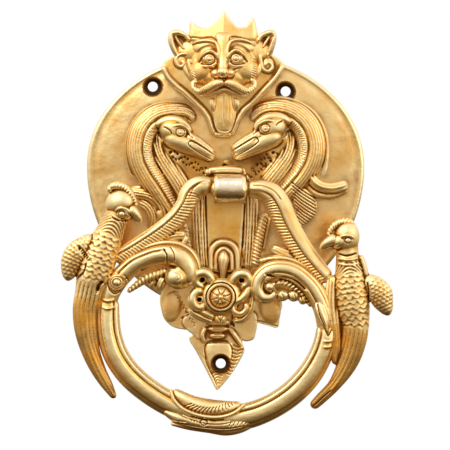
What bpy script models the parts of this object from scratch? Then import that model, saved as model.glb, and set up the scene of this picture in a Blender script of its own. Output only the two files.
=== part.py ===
"""Cast brass door knocker: a dished plate with a crowned lion mask and two swans, and a ring with two birds.

Every size below is in millimetres.  A place is (x, z) on the face of the door, or (x, z, depth), where depth
is measured out from the door.  The world is in metres: +X right, +Z up, the door is the plane y = 0 and the
knocker stands out along -Y.  The origin is on the door behind the middle of the dished plate.
"""

import math

import bmesh
import bpy
from mathutils import Matrix, Vector

MM = 0.001
GAP = 0.3  # left between castings that touch

# dished plate: an egg, half an ellipse above its widest line and a longer half below it
PLATE_HALF_WIDTH = 75.3
PLATE_UP = 61.0
PLATE_DOWN = 79.5
PLATE_RIM = 2.4
PLATE_RISE = 4.8
PLATE_WALL = 2.6
RIM_WIDTH_SHARE = 0.08
PLATE_SEGMENTS = 48

# screws: number 10 wood screws, countersunk
SCREW_HOLE_RADIUS = 2.6
SCREW_HEAD_RADIUS = 4.6
COUNTERSINK_DEPTH = 2.0
UPPER_SCREWS = {"left": (-39.5, 43.2), "right": (32.6, 40.6)}
TAIL_SCREW = (-2.6, -107.0)

# hinge: a bar in a bent strip
HINGE_Z = -12.4
HINGE_DEPTH = 19.0
BAR_RADIUS = 4.6
STRAP_X = (-6.4, 11.2)
STRAP_OUTER = 8.0
STRAP_THICK = 2.0
STRAP_TAIL = 7.0

# depths of the relief on the plate
SHIELD_FRONT = 11.0
PANEL_FRONT = 10.4
TAIL_FRONT = 6.6
NECK_DEPTH = 7.2

# the swinging part
RING_DEPTH = 20.0
SCROLL_DEPTH = 21.0
BIRD_DEPTH = 21.5
STRIKER_XZ = (-4.0, -136.0)
STRIKER_RADIUS = 6.0
STRIKER_FACE = 0.5

COLLECTION = "door_knocker"
CUTTERS = "cutters"
HINGE = "hinge_axis"


# ---------------------------------------------------------------- scene and materials


def clear_scene():
    for obj in list(bpy.data.objects):
        bpy.data.objects.remove(obj)
    for name in (COLLECTION, CUTTERS):
        bpy.context.scene.collection.children.link(bpy.data.collections.new(name))


def brass(name, colour, roughness):
    found = bpy.data.materials.get(name)
    if found:
        return found
    made = bpy.data.materials.new(name)
    made.use_nodes = True
    shader = made.node_tree.nodes["Principled BSDF"]
    shader.inputs["Base Color"].default_value = (*colour, 1.0)
    shader.inputs["Roughness"].default_value = roughness
    shader.inputs["Metallic"].default_value = 1.0
    return made


def materials():
    brass("cast_brass", (0.80, 0.53, 0.20), 0.34)
    brass("burnished_brass", (0.88, 0.66, 0.33), 0.24)
    brass("strip_brass", (0.86, 0.76, 0.52), 0.22)


def finish(obj, name, material):
    """Gives a piece its name and material, and moves it from the cutters to the knocker's collection."""
    obj.name = name
    obj.data.materials.clear()
    obj.data.materials.append(bpy.data.materials[material])
    bpy.data.collections[CUTTERS].objects.unlink(obj)
    bpy.data.collections[COLLECTION].objects.link(obj)
    obj.hide_render = False
    obj.display_type = "TEXTURED"
    obj.data.shade_smooth()
    obj.data.set_sharp_from_angle(angle=math.radians(40))
    return obj


def world(x, z, depth):
    return Vector((x * MM, -depth * MM, z * MM))


def make_hinge():
    """An empty on the axis of the bar, which carries every piece that swings."""
    hinge = bpy.data.objects.new(HINGE, None)
    hinge.location = world(sum(STRAP_X) / 2, HINGE_Z, HINGE_DEPTH)
    bpy.data.collections[COLLECTION].objects.link(hinge)


def hang(obj):
    """Parents a piece to the hinge, with its own origin on the axis."""
    hinge = bpy.data.objects[HINGE]
    obj.data.transform(Matrix.Translation(-hinge.location))
    obj.parent = hinge


def helper(mesh, name="helper"):
    """An object in the cutters' collection: a tool, or a piece that is still being built."""
    obj = bpy.data.objects.new(name, mesh)
    bpy.data.collections[CUTTERS].objects.link(obj)
    obj.hide_render = True
    obj.display_type = "WIRE"
    return obj


# ---------------------------------------------------------------- shapes


def smooth_route(points, steps=3):
    """Points of a Catmull-Rom curve through points, each a tuple of any length, with steps to a span."""
    made = []
    last = len(points) - 1
    for i in range(last):
        before, start = points[max(i - 1, 0)], points[i]
        end, after = points[i + 1], points[min(i + 2, last)]
        for k in range(steps):
            t = k / steps
            weights = (
                (-t + 2 * t * t - t**3) / 2,
                (2 - 5 * t * t + 3 * t**3) / 2,
                (t + 4 * t * t - 3 * t**3) / 2,
                (t**3 - t * t) / 2,
            )
            made.append(
                tuple(
                    sum(w * p[n] for w, p in zip(weights, (before, start, end, after)))
                    for n in range(len(start))
                )
            )
    return made + [tuple(points[-1])]


def tube(route, depth, squash=1.0, grow=0.0, steps=2):
    """A tube along route, points of (x, z, radius), lying at one depth; squash is its depth over its width."""
    data = bpy.data.curves.new("tube", "CURVE")
    data.dimensions = "3D"
    data.bevel_depth = MM
    data.bevel_resolution = 2
    data.use_fill_caps = True
    places = smooth_route(route, steps)
    spline = data.splines.new("POLY")
    spline.points.add(len(places) - 1)
    for point, (x, z, radius) in zip(spline.points, places):
        point.co = (x * MM, 0.0, z * MM, 1.0)
        point.radius = radius + grow
    curve = bpy.data.objects.new("tube", data)
    bpy.context.scene.collection.objects.link(curve)
    bpy.context.view_layer.update()
    graph = bpy.context.evaluated_depsgraph_get()
    mesh = bpy.data.meshes.new_from_object(curve.evaluated_get(graph))
    bpy.data.objects.remove(curve)
    weld(mesh)
    mesh.transform(Matrix.Translation((0, -depth * MM, 0)) @ Matrix.Diagonal((1, squash, 1, 1)))
    return helper(mesh)


def weld(mesh):
    made = bmesh.new()
    made.from_mesh(mesh)
    bmesh.ops.remove_doubles(made, verts=made.verts, dist=1e-6)
    bmesh.ops.recalc_face_normals(made, faces=made.faces)
    made.to_mesh(mesh)
    made.free()


def slab(outline, back, front, bevel=0.0):
    """A flat outline, whose points are (x, z), that is solid from one depth to another."""
    data = bpy.data.curves.new("slab", "CURVE")
    data.dimensions = "2D"
    data.fill_mode = "BOTH"
    data.extrude = (front - back) / 2 * MM
    spline = data.splines.new("POLY")
    spline.points.add(len(outline) - 1)
    for point, (x, z) in zip(spline.points, outline):
        point.co = (x * MM, z * MM, 0.0, 1.0)
    spline.use_cyclic_u = True
    curve = bpy.data.objects.new("slab", data)
    bpy.context.scene.collection.objects.link(curve)
    bpy.context.view_layer.update()
    graph = bpy.context.evaluated_depsgraph_get()
    mesh = bpy.data.meshes.new_from_object(curve.evaluated_get(graph))
    bpy.data.objects.remove(curve)
    stand_up = Matrix.Rotation(math.radians(90), 4, "X")
    mesh.transform(Matrix.Translation((0, -(front + back) / 2 * MM, 0)) @ stand_up)
    weld(mesh)
    obj = helper(mesh)
    if bevel:
        rounding = obj.modifiers.new("edge", "BEVEL")
        rounding.width = bevel * MM
        rounding.segments = 2
        rounding.limit_method = "ANGLE"
        rounding.angle_limit = math.radians(50)
        apply_modifiers(obj)
    return obj


def ball(x, z, depth, half, turn=0.0, segments=12, rings=7):
    """An ellipsoid; half is (across, up, out), and turn is in degrees anticlockwise seen from the front."""
    mesh = bpy.data.meshes.new("ball")
    made = bmesh.new()
    bmesh.ops.create_uvsphere(made, u_segments=segments, v_segments=rings, radius=1.0)
    made.to_mesh(mesh)
    made.free()
    size = Matrix.Diagonal((half[0] * MM, half[2] * MM, half[1] * MM, 1))
    turned = Matrix.Rotation(-math.radians(turn), 4, "Y")
    mesh.transform(Matrix.Translation(world(x, z, depth)) @ turned @ size)
    return helper(mesh)


def turned(x, z, profile, segments=20):
    """A round solid that stands out from the door; profile is pairs of (radius, depth) from axis to axis."""
    mesh = bpy.data.meshes.new("turned")
    points = [(radius * MM, 0.0, depth * MM) for radius, depth in reversed(profile)]
    mesh.from_pydata(points, [(k, k + 1) for k in range(len(points) - 1)], [])
    obj = helper(mesh)
    turning = obj.modifiers.new("turning", "SCREW")
    turning.steps = turning.render_steps = segments
    turning.use_merge_vertices = True
    turning.merge_threshold = 1e-6
    apply_modifiers(obj)
    out_of_door = Matrix.Rotation(math.radians(90), 4, "X")
    obj.data.transform(Matrix.Translation(world(x, z, 0)) @ out_of_door)
    weld(obj.data)
    return obj


def rod(x, z, back, front, radius, segments=20):
    return turned(x, z, [(0, back), (radius, back), (radius, front), (0, front)], segments)


def apply_modifiers(obj):
    bpy.context.view_layer.update()
    graph = bpy.context.evaluated_depsgraph_get()
    mesh = bpy.data.meshes.new_from_object(obj.evaluated_get(graph))
    obj.modifiers.clear()
    obj.data = mesh


def boolean(obj, other, operation):
    change = obj.modifiers.new(operation.lower(), "BOOLEAN")
    change.operation = operation
    change.solver = "EXACT"
    change.object = other
    apply_modifiers(obj)


def fuse(first, *others):
    """One solid from several that overlap."""
    for other in others:
        boolean(first, other, "UNION")
        bpy.data.objects.remove(other)
    return first


def cut(obj, *tools):
    """obj without the space of each tool."""
    for tool in tools:
        boolean(obj, tool, "DIFFERENCE")
        bpy.data.objects.remove(tool)
    return obj


# ---------------------------------------------------------------- the dished plate


def plate_front(share):
    return PLATE_RIM + PLATE_RISE * (1 - share**2.4)


def egg(profile):
    """A turned solid stretched to the egg outline; profile is pairs of (share, depth) from axis to axis."""
    obj = turned(0, 0, [(share * PLATE_HALF_WIDTH, depth) for share, depth in profile], PLATE_SEGMENTS)
    for vertex in obj.data.vertices:
        vertex.co.z *= (PLATE_UP if vertex.co.z > 0 else PLATE_DOWN) / PLATE_HALF_WIDTH
    return obj


FRONT_SHARES = (0.0, 0.35, 0.58, 0.76, 0.9)


def plate_body():
    inner_shares = [s for s in FRONT_SHARES if s < 1 - RIM_WIDTH_SHARE]
    front = [(s, plate_front(s)) for s in FRONT_SHARES]
    rim = [(0.99, PLATE_RIM), (1.0, PLATE_RIM * 0.6), (1.0, 0.0), (1 - RIM_WIDTH_SHARE, 0.0)]
    hollow = [(s, plate_front(s) - PLATE_WALL) for s in reversed(inner_shares)]
    return egg(front + rim + hollow)


def plate_space():
    """The space that the plate fills, and a gap over it, for cutting what lies on the plate."""
    front = [(s, plate_front(s) + GAP) for s in FRONT_SHARES]
    side = [(1.0, PLATE_RIM + GAP), (1.0 + GAP / 60, PLATE_RIM), (1.0 + GAP / 60, -3.0), (0.0, -3.0)]
    return egg(front + side)


def strap_slots():
    """Two slots that the legs of the strap pass through."""
    low, high = STRAP_X[0] - GAP, STRAP_X[1] + GAP
    slots = []
    for leg in (1, -1):
        outer = HINGE_Z + leg * (STRAP_OUTER + GAP)
        inner = HINGE_Z + leg * (STRAP_OUTER - STRAP_THICK - GAP)
        corners = [(low, outer), (high, outer), (high, inner), (low, inner)]
        slots.append(slab(corners, -1.0, 16.0))
    return slots


def screw_space(x, z, front):
    """A countersunk hole whose wide end is at depth front."""
    sink = front - COUNTERSINK_DEPTH
    profile = [(0, -3.0), (SCREW_HOLE_RADIUS, -3.0), (SCREW_HOLE_RADIUS, sink), (SCREW_HEAD_RADIUS, front)]
    return turned(x, z, profile + [(SCREW_HEAD_RADIUS, front + 6.0), (0, front + 6.0)])


def share_at(x, z):
    return math.hypot(x / PLATE_HALF_WIDTH, z / (PLATE_UP if z > 0 else PLATE_DOWN))


def make_plate():
    plate = cut(plate_body(), *strap_slots())
    for x, z in UPPER_SCREWS.values():
        front = plate_front(share_at(x, z))
        fuse(plate, rod(x, z, 0.6, front - 0.7, SCREW_HEAD_RADIUS + 2.4))
        cut(plate, screw_space(x, z, front))
    return finish(plate, "back_plate", "cast_brass")


# ---------------------------------------------------------------- what is brazed to the plate

SHIELD_OUTLINE = [
    (-34, 54), (-32.5, 49.5), (-27, 43.5), (-20, 38.5), (-14, 33.5), (-10, 28), (-7.6, 21.5), (-6, 17),
    (-3, 15.8), (2, 16), (4, 18), (6.5, 25), (10, 30.5), (16, 35.5), (22, 41), (27.5, 48), (31.5, 55),
    (25.5, 59.5), (20, 62), (17, 68), (8, 71), (-8, 71), (-19, 69), (-22, 62), (-28, 59.5),
]


def make_shield():
    return finish(
        cut(slab(SHIELD_OUTLINE, 0.6, SHIELD_FRONT, bevel=0.8), plate_space()), "mask_shield", "cast_brass"
    )


CROWN_OUTLINE = [
    (-19.5, 67), (-19.2, 77.5), (-17.5, 77.3), (-11.5, 74), (-7, 76.5), (-3, 81.5), (-0.8, 84), (2, 80.5),
    (5, 76.2), (8.5, 74.2), (12, 77.5), (14.8, 80.8), (16.2, 77), (17.2, 67),
]
TONGUE_OUTLINE = [(-5, 40), (-6.2, 28), (-4, 18.5), (-2.5, 17.6), (1.5, 17.6), (3, 18.5), (5, 28), (4, 40)]
LEFT_EAR = [(-14, 60, 5.0), (-21.5, 62.4, 5.4), (-26.4, 67.6, 4.2), (-29.4, 72.4, 1.4)]
RIGHT_EAR = [(12, 60, 5.0), (18.6, 62.8, 5.2), (23, 68.2, 4.0), (25.8, 73.2, 1.4)]
MOUSTACHE = [
    (-16.5, 43, 1.6), (-12, 40.5, 2.4), (-6, 42.5, 2.6), (-0.7, 44.6, 2.4), (5, 42.8, 2.6),
    (10.5, 40.5, 2.4), (15.5, 44, 1.6),
]


def make_mask():
    back = SHIELD_FRONT + GAP
    face = ball(-1, 55.5, back, (19.2, 18.4, 12.5), segments=18, rings=10)
    crown = slab(CROWN_OUTLINE, back - 4.0, back + 5.5, bevel=1.2)
    left_ear = tube(LEFT_EAR, back, squash=0.9)
    right_ear = tube(RIGHT_EAR, back, squash=0.9)
    nose = ball(-1, 51.5, back + 11.5, (4.6, 5.4, 5.0))
    moustache = tube(MOUSTACHE, back + 8.6, squash=1.3)
    tongue = slab(TONGUE_OUTLINE, back - 1.0, back + 4.0, bevel=0.8)
    left_eye = ball(-8.6, 58.2, back + 11.0, (3.2, 3.2, 3.0))
    right_eye = ball(5.4, 58.6, back + 11.0, (3.2, 3.2, 3.0))
    mask = fuse(face, crown, left_ear, right_ear, nose, moustache, tongue, left_eye, right_eye)
    behind = slab([(-40, 0), (40, 0), (40, 95), (-40, 95)], -10.0, back)
    return finish(cut(mask, behind), "lion_mask", "cast_brass")


PANEL_OUTLINE = [
    (-12, 0.5), (11, 0.5), (15, -8), (16, -22), (14.5, -40), (11.8, -56), (8, -63), (-8, -64), (-13.5, -56),
    (-16.5, -40),
    (-17.5, -22), (-16, -8),
]


def make_panel():
    panel = slab(PANEL_OUTLINE, 3.0, PANEL_FRONT, bevel=1.0)
    ledge = tube([(-9.6, -2.3, 1.7), (0, -1.9, 1.8), (9.4, -2.0, 1.7)], PANEL_FRONT + 0.6)
    drop = ball(-1.5, -52, PANEL_FRONT, (4.0, 9.0, 3.4))
    fuse(panel, ledge, drop)
    return finish(cut(panel, plate_space(), *strap_slots()), "breast_panel", "cast_brass")


SWANS = {
    "left_swan": {
        "neck": [
            (-27, 25.5, 4.5), (-35, 26, 6.0), (-42, 19, 6.6), (-44, 8, 6.8), (-40.5, -3, 7.2),
            (-34.5, -12, 7.4), (-29, -20, 7.0), (-24.5, -28, 5.6), (-22.4, -37, 4.0), (-21, -46, 3.0),
            (-19.4, -55.4, 2.4),
        ],
        "head": ((-25.5, 19.5), (9.2, 7.6, 7.0), -32),
        "beak": [(-22, 14, 4.8), (-15, 9.5, 3.6), (-9.5, 6.2, 2.9), (-5.6, 4.2, 2.2)],
        "horn": [(-36, -21, 4.2), (-41.5, -20.5, 4.8), (-48, -22, 4.0), (-53.5, -21, 3.4)],
    },
    "right_swan": {
        "neck": [
            (24, 27.5, 4.5), (33, 28, 6.0), (41, 21, 6.8), (43.5, 10, 6.8), (41, -1, 7.4), (36.5, -11, 7.6),
            (31, -20, 7.0), (26.4, -29, 5.2), (22.8, -37, 3.8), (21, -46, 3.0), (19, -55.4, 2.4),
        ],
        "head": ((22.5, 20.5), (9.2, 7.6, 7.0), 32),
        "beak": [(19, 15, 4.8), (12.5, 10.6, 3.6), (7, 7.4, 2.9), (3.4, 5.6, 2.2)],
        "horn": [(43, -7, 4.4), (47, -12, 4.4), (53, -13.8, 4.2), (59.5, -13, 4.2), (64.5, -10.4, 3.6)],
    },
}


def make_swan(name):
    swan = SWANS[name]
    body = tube(swan["neck"], NECK_DEPTH, squash=0.78)
    (x, z), half, turn = swan["head"]
    head = ball(x, z, NECK_DEPTH + 4.0, half, turn=turn)
    beak = tube(swan["beak"], NECK_DEPTH + 5.2, squash=0.9)
    horn = tube(swan["horn"], NECK_DEPTH - 1.4, squash=0.9)
    fuse(body, head, beak, horn)
    panel = slab(grown(PANEL_OUTLINE, GAP), 0.0, PANEL_FRONT + 6.0)
    return finish(cut(body, plate_space(), panel), name, "cast_brass")


def grown(outline, by):
    """The outline with each corner moved away from its middle."""
    middle = Vector((sum(p[0] for p in outline), sum(p[1] for p in outline))) / len(outline)
    moved = []
    for point in outline:
        away = Vector(point) - middle
        moved.append(tuple(Vector(point) + away.normalized() * by * 1.6))
    return moved


TAIL_OUTLINE = [
    (-22, -60), (-29, -62), (-35.5, -69), (-34.8, -77), (-33, -83.5), (-29, -87), (-22, -89), (-18.5, -93),
    (-10.5, -110), (-4.6, -121.2), (-1.6, -118.6), (4.8, -109.5), (9.8, -99), (10.5, -94.8), (15, -94),
    (17.2, -86),
    (28.6, -88), (31.2, -75), (26, -65), (20, -60), (12, -66.4), (-13, -67.4),
]
OVAL_PAD = (-3.6, -103.2, 7.2, 9.4)
NECK_PAD = (-3.9, -87.6, 5.0, 5.4)


def oval(x, z, half_width, half_height, corners=16):
    turns = [2 * math.pi * (k + 0.5) / corners for k in range(corners)]
    return [(x + half_width * math.cos(a), z + half_height * math.sin(a)) for a in turns]


def make_tail():
    tail = slab(TAIL_OUTLINE, 0.0, TAIL_FRONT - 1.0)
    for pad in (OVAL_PAD, NECK_PAD):
        fuse(tail, slab(oval(*pad), 1.5, TAIL_FRONT + 0.5))
    cut(tail, plate_space(), screw_space(*TAIL_SCREW, TAIL_FRONT + 0.5))
    return finish(tail, "tail_leaf", "cast_brass")


# ---------------------------------------------------------------- the strap


def make_strap():
    """A strip bent round the bar; its legs go through the plate and are bent out flat against its hollow back."""
    inner = STRAP_OUTER - STRAP_THICK
    farthest = share_at(0, HINGE_Z - STRAP_OUTER - STRAP_TAIL)
    behind_plate = plate_front(farthest) - PLATE_WALL - 2 * GAP
    tail_back = behind_plate - STRAP_THICK
    steps = 14
    arc = [math.pi * k / steps for k in range(steps + 1)]
    outer_arc = [(HINGE_DEPTH + STRAP_OUTER * math.sin(a), STRAP_OUTER * math.cos(a)) for a in arc]
    inner_arc = [(HINGE_DEPTH + inner * math.sin(a), inner * math.cos(a)) for a in reversed(arc)]
    outline = [
        (tail_back, STRAP_OUTER + STRAP_TAIL), (behind_plate, STRAP_OUTER + STRAP_TAIL),
        (behind_plate, STRAP_OUTER),
    ]
    outline += outer_arc
    outline += [(behind_plate, -STRAP_OUTER), (behind_plate, -STRAP_OUTER - STRAP_TAIL)]
    outline += [(tail_back, -STRAP_OUTER - STRAP_TAIL), (tail_back, -inner)]
    outline += inner_arc
    outline += [(tail_back, inner)]
    width = STRAP_X[1] - STRAP_X[0]
    strip = slab(outline, -width / 2, width / 2)
    # the outline was drawn with depth across and height up, so it is turned until its width lies along X
    turn = Matrix(((0, -1, 0, 0), (-1, 0, 0, 0), (0, 0, 1, 0), (0, 0, 0, 1)))
    middle = Matrix.Translation(((STRAP_X[0] + STRAP_X[1]) / 2 * MM, 0, HINGE_Z * MM))
    strip.data.transform(middle @ turn)
    weld(strip.data)
    return finish(strip, "hinge_strap", "strip_brass")


# ---------------------------------------------------------------- the swinging part

RING_ROUTE = [
    (-63, -72.6, 5.6), (-63.6, -82, 5.9), (-62, -93, 6.1), (-58, -103.5, 6.3), (-51, -113, 6.4),
    (-42, -121, 6.4),
    (-31, -127.6, 6.2), (-18, -132.6, 6.2), (-4, -135.2, 6.2), (10, -134.6, 6.0), (23, -130.4, 5.9),
    (35, -122.8, 6.0), (44, -113.4, 6.0), (50.4, -103, 5.8), (53.6, -93.4, 5.4),
]
SCROLLS = {
    "left_scroll": [
        (-62.6, -70.6, 4.2), (-59, -63.2, 4.6), (-52.5, -56, 4.8), (-44.5, -50.6, 4.8), (-36, -48, 4.8),
        (-28, -48.6, 5.0),
        (-22, -52.8, 5.2), (-20.8, -59, 5.0), (-24.4, -62.8, 4.6), (-28.6, -60.6, 4.0),
    ],
    "right_scroll": [
        (54.2, -90.6, 4.2), (52.8, -80, 4.8), (49, -70.4, 4.8), (43, -62.2, 4.8), (35, -57, 4.8),
        (27, -56, 4.8), (20.6, -59.4, 4.6),
        (18, -65.4, 4.2), (20.4, -70, 3.4), (24.6, -69, 3.0),
    ],
}
YOKE_ARMS = {
    "left": [
        (-7.4, -12, 4.6), (-13, -11.6, 5.2), (-18.4, -14.4, 5.6), (-22, -21, 5.2), (-28, -28.4, 4.8),
        (-37, -35.6, 4.4),
        (-47, -42, 4.2), (-56.5, -47.4, 4.0),
    ],
    "right": [
        (12.2, -12.8, 4.4), (18, -14.2, 5.0), (24.4, -18.4, 5.6), (28.8, -26, 5.6), (33.2, -35, 5.4),
        (39, -44.6, 5.2),
        (46, -54, 4.8), (52.6, -61.4, 4.2),
    ],
}
BIRDS = {
    "left_bird": {
        "body": [
            (-56.4, -18.6, 6.0), (-58, -27, 6.6), (-61.6, -35, 7.6), (-66, -44, 9.0), (-69, -53, 9.2),
            (-72, -62, 7.6), (-74.4, -72, 6.6), (-74.6, -84, 5.8), (-72.8, -96, 4.8), (-68.6, -107, 3.8),
            (-63.6, -116, 3.0), (-59.6, -123, 2.2),
        ],
        "head": (-55.4, -20.6, 23.0, (7.4, 7.0, 6.6)),
        "beak": [(-52, -24, 3.4), (-48.6, -27, 2.4), (-46, -29.4, 1.2)],
        "wing": [(-72, -44, 5.0), (-79, -44.6, 6.0), (-82.6, -50.6, 5.6), (-84.4, -58.6, 3.2)],
        "crest": [(-62, -12, 2.0), (-57, -11.4, 2.4), (-51.6, -14.4, 2.0), (-48.4, -20, 1.4)],
    },
    "right_bird": {
        "body": [
            (64.4, -36, 6.6), (65, -46, 6.2), (66, -56, 8.0), (67.4, -67, 9.0), (68.4, -77, 8.2),
            (69.6, -87, 6.4), (67.6, -98, 5.6), (63.6, -108.6, 4.6), (59, -117.4, 3.6), (52.6, -124.4, 2.8),
            (46, -130, 2.2),
        ],
        "head": (64.2, -37.6, 23.0, (7.2, 8.0, 6.6)),
        "beak": [(58, -41, 3.2), (54, -43, 2.6), (51.6, -45.2, 1.2)],
        "wing": [(72, -64, 5.0), (79, -64.6, 6.0), (84, -69, 5.8), (87, -77.4, 3.0)],
        "crest": [(56, -36.4, 1.6), (58.4, -31.4, 1.8), (63.4, -29.6, 1.8), (67.6, -31, 1.4)],
    },
}
CLASP_ROUTE = [(-28, -129, 7.4), (-18, -133, 8.4), (-4, -136.2, 8.8), (8, -135.4, 7.6)]
LOBES = [(-12.4, -60.4, 4.4), (8.8, -61.4, 4.6), (-14.2, -71, 4.6), (7.4, -75.4, 4.4)]
MOUNT_RADIUS = 10.6
MOUNT_BACK = SCROLL_DEPTH - 3.6
MOUNT_FRONT = SCROLL_DEPTH + 3.4
LOBE_HALF_DEPTH = 4.6
FOOT = (-3.0, -83.0)
FOOT_HALF = (3.4, 3.2, 3.4)
ROSETTE = (-2.6, -70.6)
ROSETTE_RADIUS = 7.2
RIVET_RADIUS = 2.4
PEENED_RADIUS = 4.0
PEENED_THICK = 1.8


def ring_tool(grow):
    return tube(RING_ROUTE, RING_DEPTH, grow=grow)


def scroll_tool(name, grow):
    return tube(SCROLLS[name], SCROLL_DEPTH, grow=grow)


def make_ring():
    return finish(ring_tool(0), "knocker_ring", "burnished_brass")


def make_scroll(name):
    return finish(cut(scroll_tool(name, 0), ring_tool(GAP)), name, "burnished_brass")


def arms_tool(grow):
    """The hinge bar and its two arms."""
    bar = tube(
        [
            (YOKE_ARMS["left"][0][0] - 2, HINGE_Z, BAR_RADIUS),
            (YOKE_ARMS["right"][0][0] + 2, HINGE_Z, BAR_RADIUS),
        ],
        HINGE_DEPTH, grow=grow,
    )
    arms = [tube(route, HINGE_DEPTH, squash=0.84, grow=grow) for route in YOKE_ARMS.values()]
    return fuse(bar, *arms)


def make_yoke():
    yoke = cut(arms_tool(0), *(scroll_tool(name, GAP) for name in SCROLLS))
    return finish(yoke, "knocker_yoke", "cast_brass")


def make_bird(name):
    bird = BIRDS[name]
    x, z, depth, half = bird["head"]
    body = tube(bird["body"], BIRD_DEPTH, squash=0.95)
    head = ball(x, z, depth, half)
    beak = tube(bird["beak"], depth + 0.6)
    wing = tube(bird["wing"], BIRD_DEPTH + 1.0, squash=0.55)
    crest = tube(bird["crest"], depth + 1.6)
    fuse(body, head, beak, wing, crest)
    scroll = "left_scroll" if name == "left_bird" else "right_scroll"
    cut(body, ring_tool(GAP), scroll_tool(scroll, GAP), arms_tool(GAP))
    return finish(body, name, "cast_brass")


def make_rosette_mount():
    x, z = ROSETTE
    mount = rod(x, z - 0.6, MOUNT_BACK, MOUNT_FRONT, MOUNT_RADIUS)
    for lobe_x, lobe_z, radius in LOBES:
        fuse(mount, ball(lobe_x, lobe_z, SCROLL_DEPTH + 0.4, (radius, radius, LOBE_HALF_DEPTH)))
    fuse(mount, ball(*FOOT, SCROLL_DEPTH + 0.2, FOOT_HALF))
    bore = rod(x, z, MOUNT_BACK - 5.0, MOUNT_FRONT + 5.0, RIVET_RADIUS + GAP)
    cut(mount, bore, *(scroll_tool(name, GAP) for name in SCROLLS))
    return finish(mount, "rosette_mount", "burnished_brass")


def make_rosette():
    """A petalled rivet: its shank goes through the mount and is peened behind."""
    x, z = ROSETTE
    seat = MOUNT_FRONT + GAP
    peened = MOUNT_BACK - GAP - 1.0
    profile = [
        (0, peened - PEENED_THICK), (PEENED_RADIUS - 0.6, peened - 1.4), (PEENED_RADIUS, peened),
        (RIVET_RADIUS, peened), (RIVET_RADIUS, seat), (ROSETTE_RADIUS, seat), (ROSETTE_RADIUS, seat + 1.4),
        (ROSETTE_RADIUS - 1.2, seat + 2.6), (5.0, seat + 4.0), (3.0, seat + 5.0), (0, seat + 5.4),
    ]
    return finish(turned(x, z, profile), "rosette_rivet", "burnished_brass")


def clasp_tool(grow):
    return tube(CLASP_ROUTE, RING_DEPTH, squash=0.92, grow=grow)


def make_clasp():
    return finish(cut(clasp_tool(0), ring_tool(GAP)), "ring_clasp", "cast_brass")


def make_striker():
    """The stud on the back of the ring that strikes the door."""
    x, z = STRIKER_XZ
    stud = rod(x, z, STRIKER_FACE, RING_DEPTH - 4.0, STRIKER_RADIUS)
    return finish(cut(stud, clasp_tool(GAP)), "striker_stud", "cast_brass")


def main():
    clear_scene()
    materials()
    make_hinge()
    make_plate()
    make_shield()
    make_mask()
    make_panel()
    for name in SWANS:
        make_swan(name)
    make_tail()
    make_strap()
    swinging = [make_ring(), make_yoke(), make_rosette_mount(), make_rosette(), make_clasp(), make_striker()]
    swinging += [make_scroll(name) for name in SCROLLS]
    swinging += [make_bird(name) for name in BIRDS]
    for obj in swinging:
        hang(obj)


main()
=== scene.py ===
"""Looks of a cast brass door knocker: a crowned lion mask, two swans, and a ring with two birds.

Sizes are in millimetres on the door's face: a place is (x, z), or (x, z, depth), where depth is measured
out from the door.
"""

import math

import bpy
import numpy as np
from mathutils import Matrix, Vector
from mathutils.kdtree import KDTree


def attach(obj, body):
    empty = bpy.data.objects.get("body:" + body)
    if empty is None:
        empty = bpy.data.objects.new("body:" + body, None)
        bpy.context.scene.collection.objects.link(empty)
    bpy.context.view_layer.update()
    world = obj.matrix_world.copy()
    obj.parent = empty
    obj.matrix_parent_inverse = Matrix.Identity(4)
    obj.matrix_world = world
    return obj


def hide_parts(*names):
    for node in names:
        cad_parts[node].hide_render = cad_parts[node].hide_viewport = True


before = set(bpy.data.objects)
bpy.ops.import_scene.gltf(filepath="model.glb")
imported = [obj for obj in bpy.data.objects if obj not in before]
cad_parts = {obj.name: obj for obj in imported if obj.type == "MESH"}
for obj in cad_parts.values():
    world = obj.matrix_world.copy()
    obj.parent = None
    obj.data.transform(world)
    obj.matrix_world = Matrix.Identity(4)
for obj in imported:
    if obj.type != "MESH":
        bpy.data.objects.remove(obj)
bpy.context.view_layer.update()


# --------------------------------------------------------------------------------------------------
# Back plate.  A sand casting in yellow brass, thin and dished, with a flat rim at the back that lies on
# the door.  Its face is ground and buffed by hand, which leaves it gently uneven, and two countersunk
# screws hold its top.

MM = 0.001


def put(piece, places):
    """Moves a piece's points to places, an array of (x, z, depth)."""
    spots = np.column_stack([places[:, 0], -places[:, 2], places[:, 1]]) * MM
    piece.data.vertices.foreach_set("co", spots.astype(np.float32).ravel())
    piece.data.update()


def read(piece):
    """A piece's points as an array of (x, z, depth)."""
    spots = np.empty(len(piece.data.vertices) * 3, np.float32)
    piece.data.vertices.foreach_get("co", spots)
    spots = spots.reshape(-1, 3).astype(float) / MM
    return np.column_stack([spots[:, 0], spots[:, 2], -spots[:, 1]])


def facing(piece):
    """Each point's normal as (x, z, depth)."""
    normals = np.empty(len(piece.data.vertices) * 3, np.float32)
    piece.data.vertex_normals.foreach_get("vector", normals)
    normals = normals.reshape(-1, 3).astype(float)
    return np.column_stack([normals[:, 0], normals[:, 2], -normals[:, 1]])


def weld(piece, reach=0.01):
    """Merges points closer than reach and turns the faces outwards."""
    bpy.ops.object.select_all(action="DESELECT")
    piece.select_set(True)
    bpy.context.view_layer.objects.active = piece
    bpy.ops.object.mode_set(mode="EDIT")
    bpy.ops.mesh.select_all(action="SELECT")
    bpy.ops.mesh.remove_doubles(threshold=reach * MM)
    bpy.ops.mesh.normals_make_consistent(inside=False)
    bpy.ops.object.mode_set(mode="OBJECT")


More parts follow.
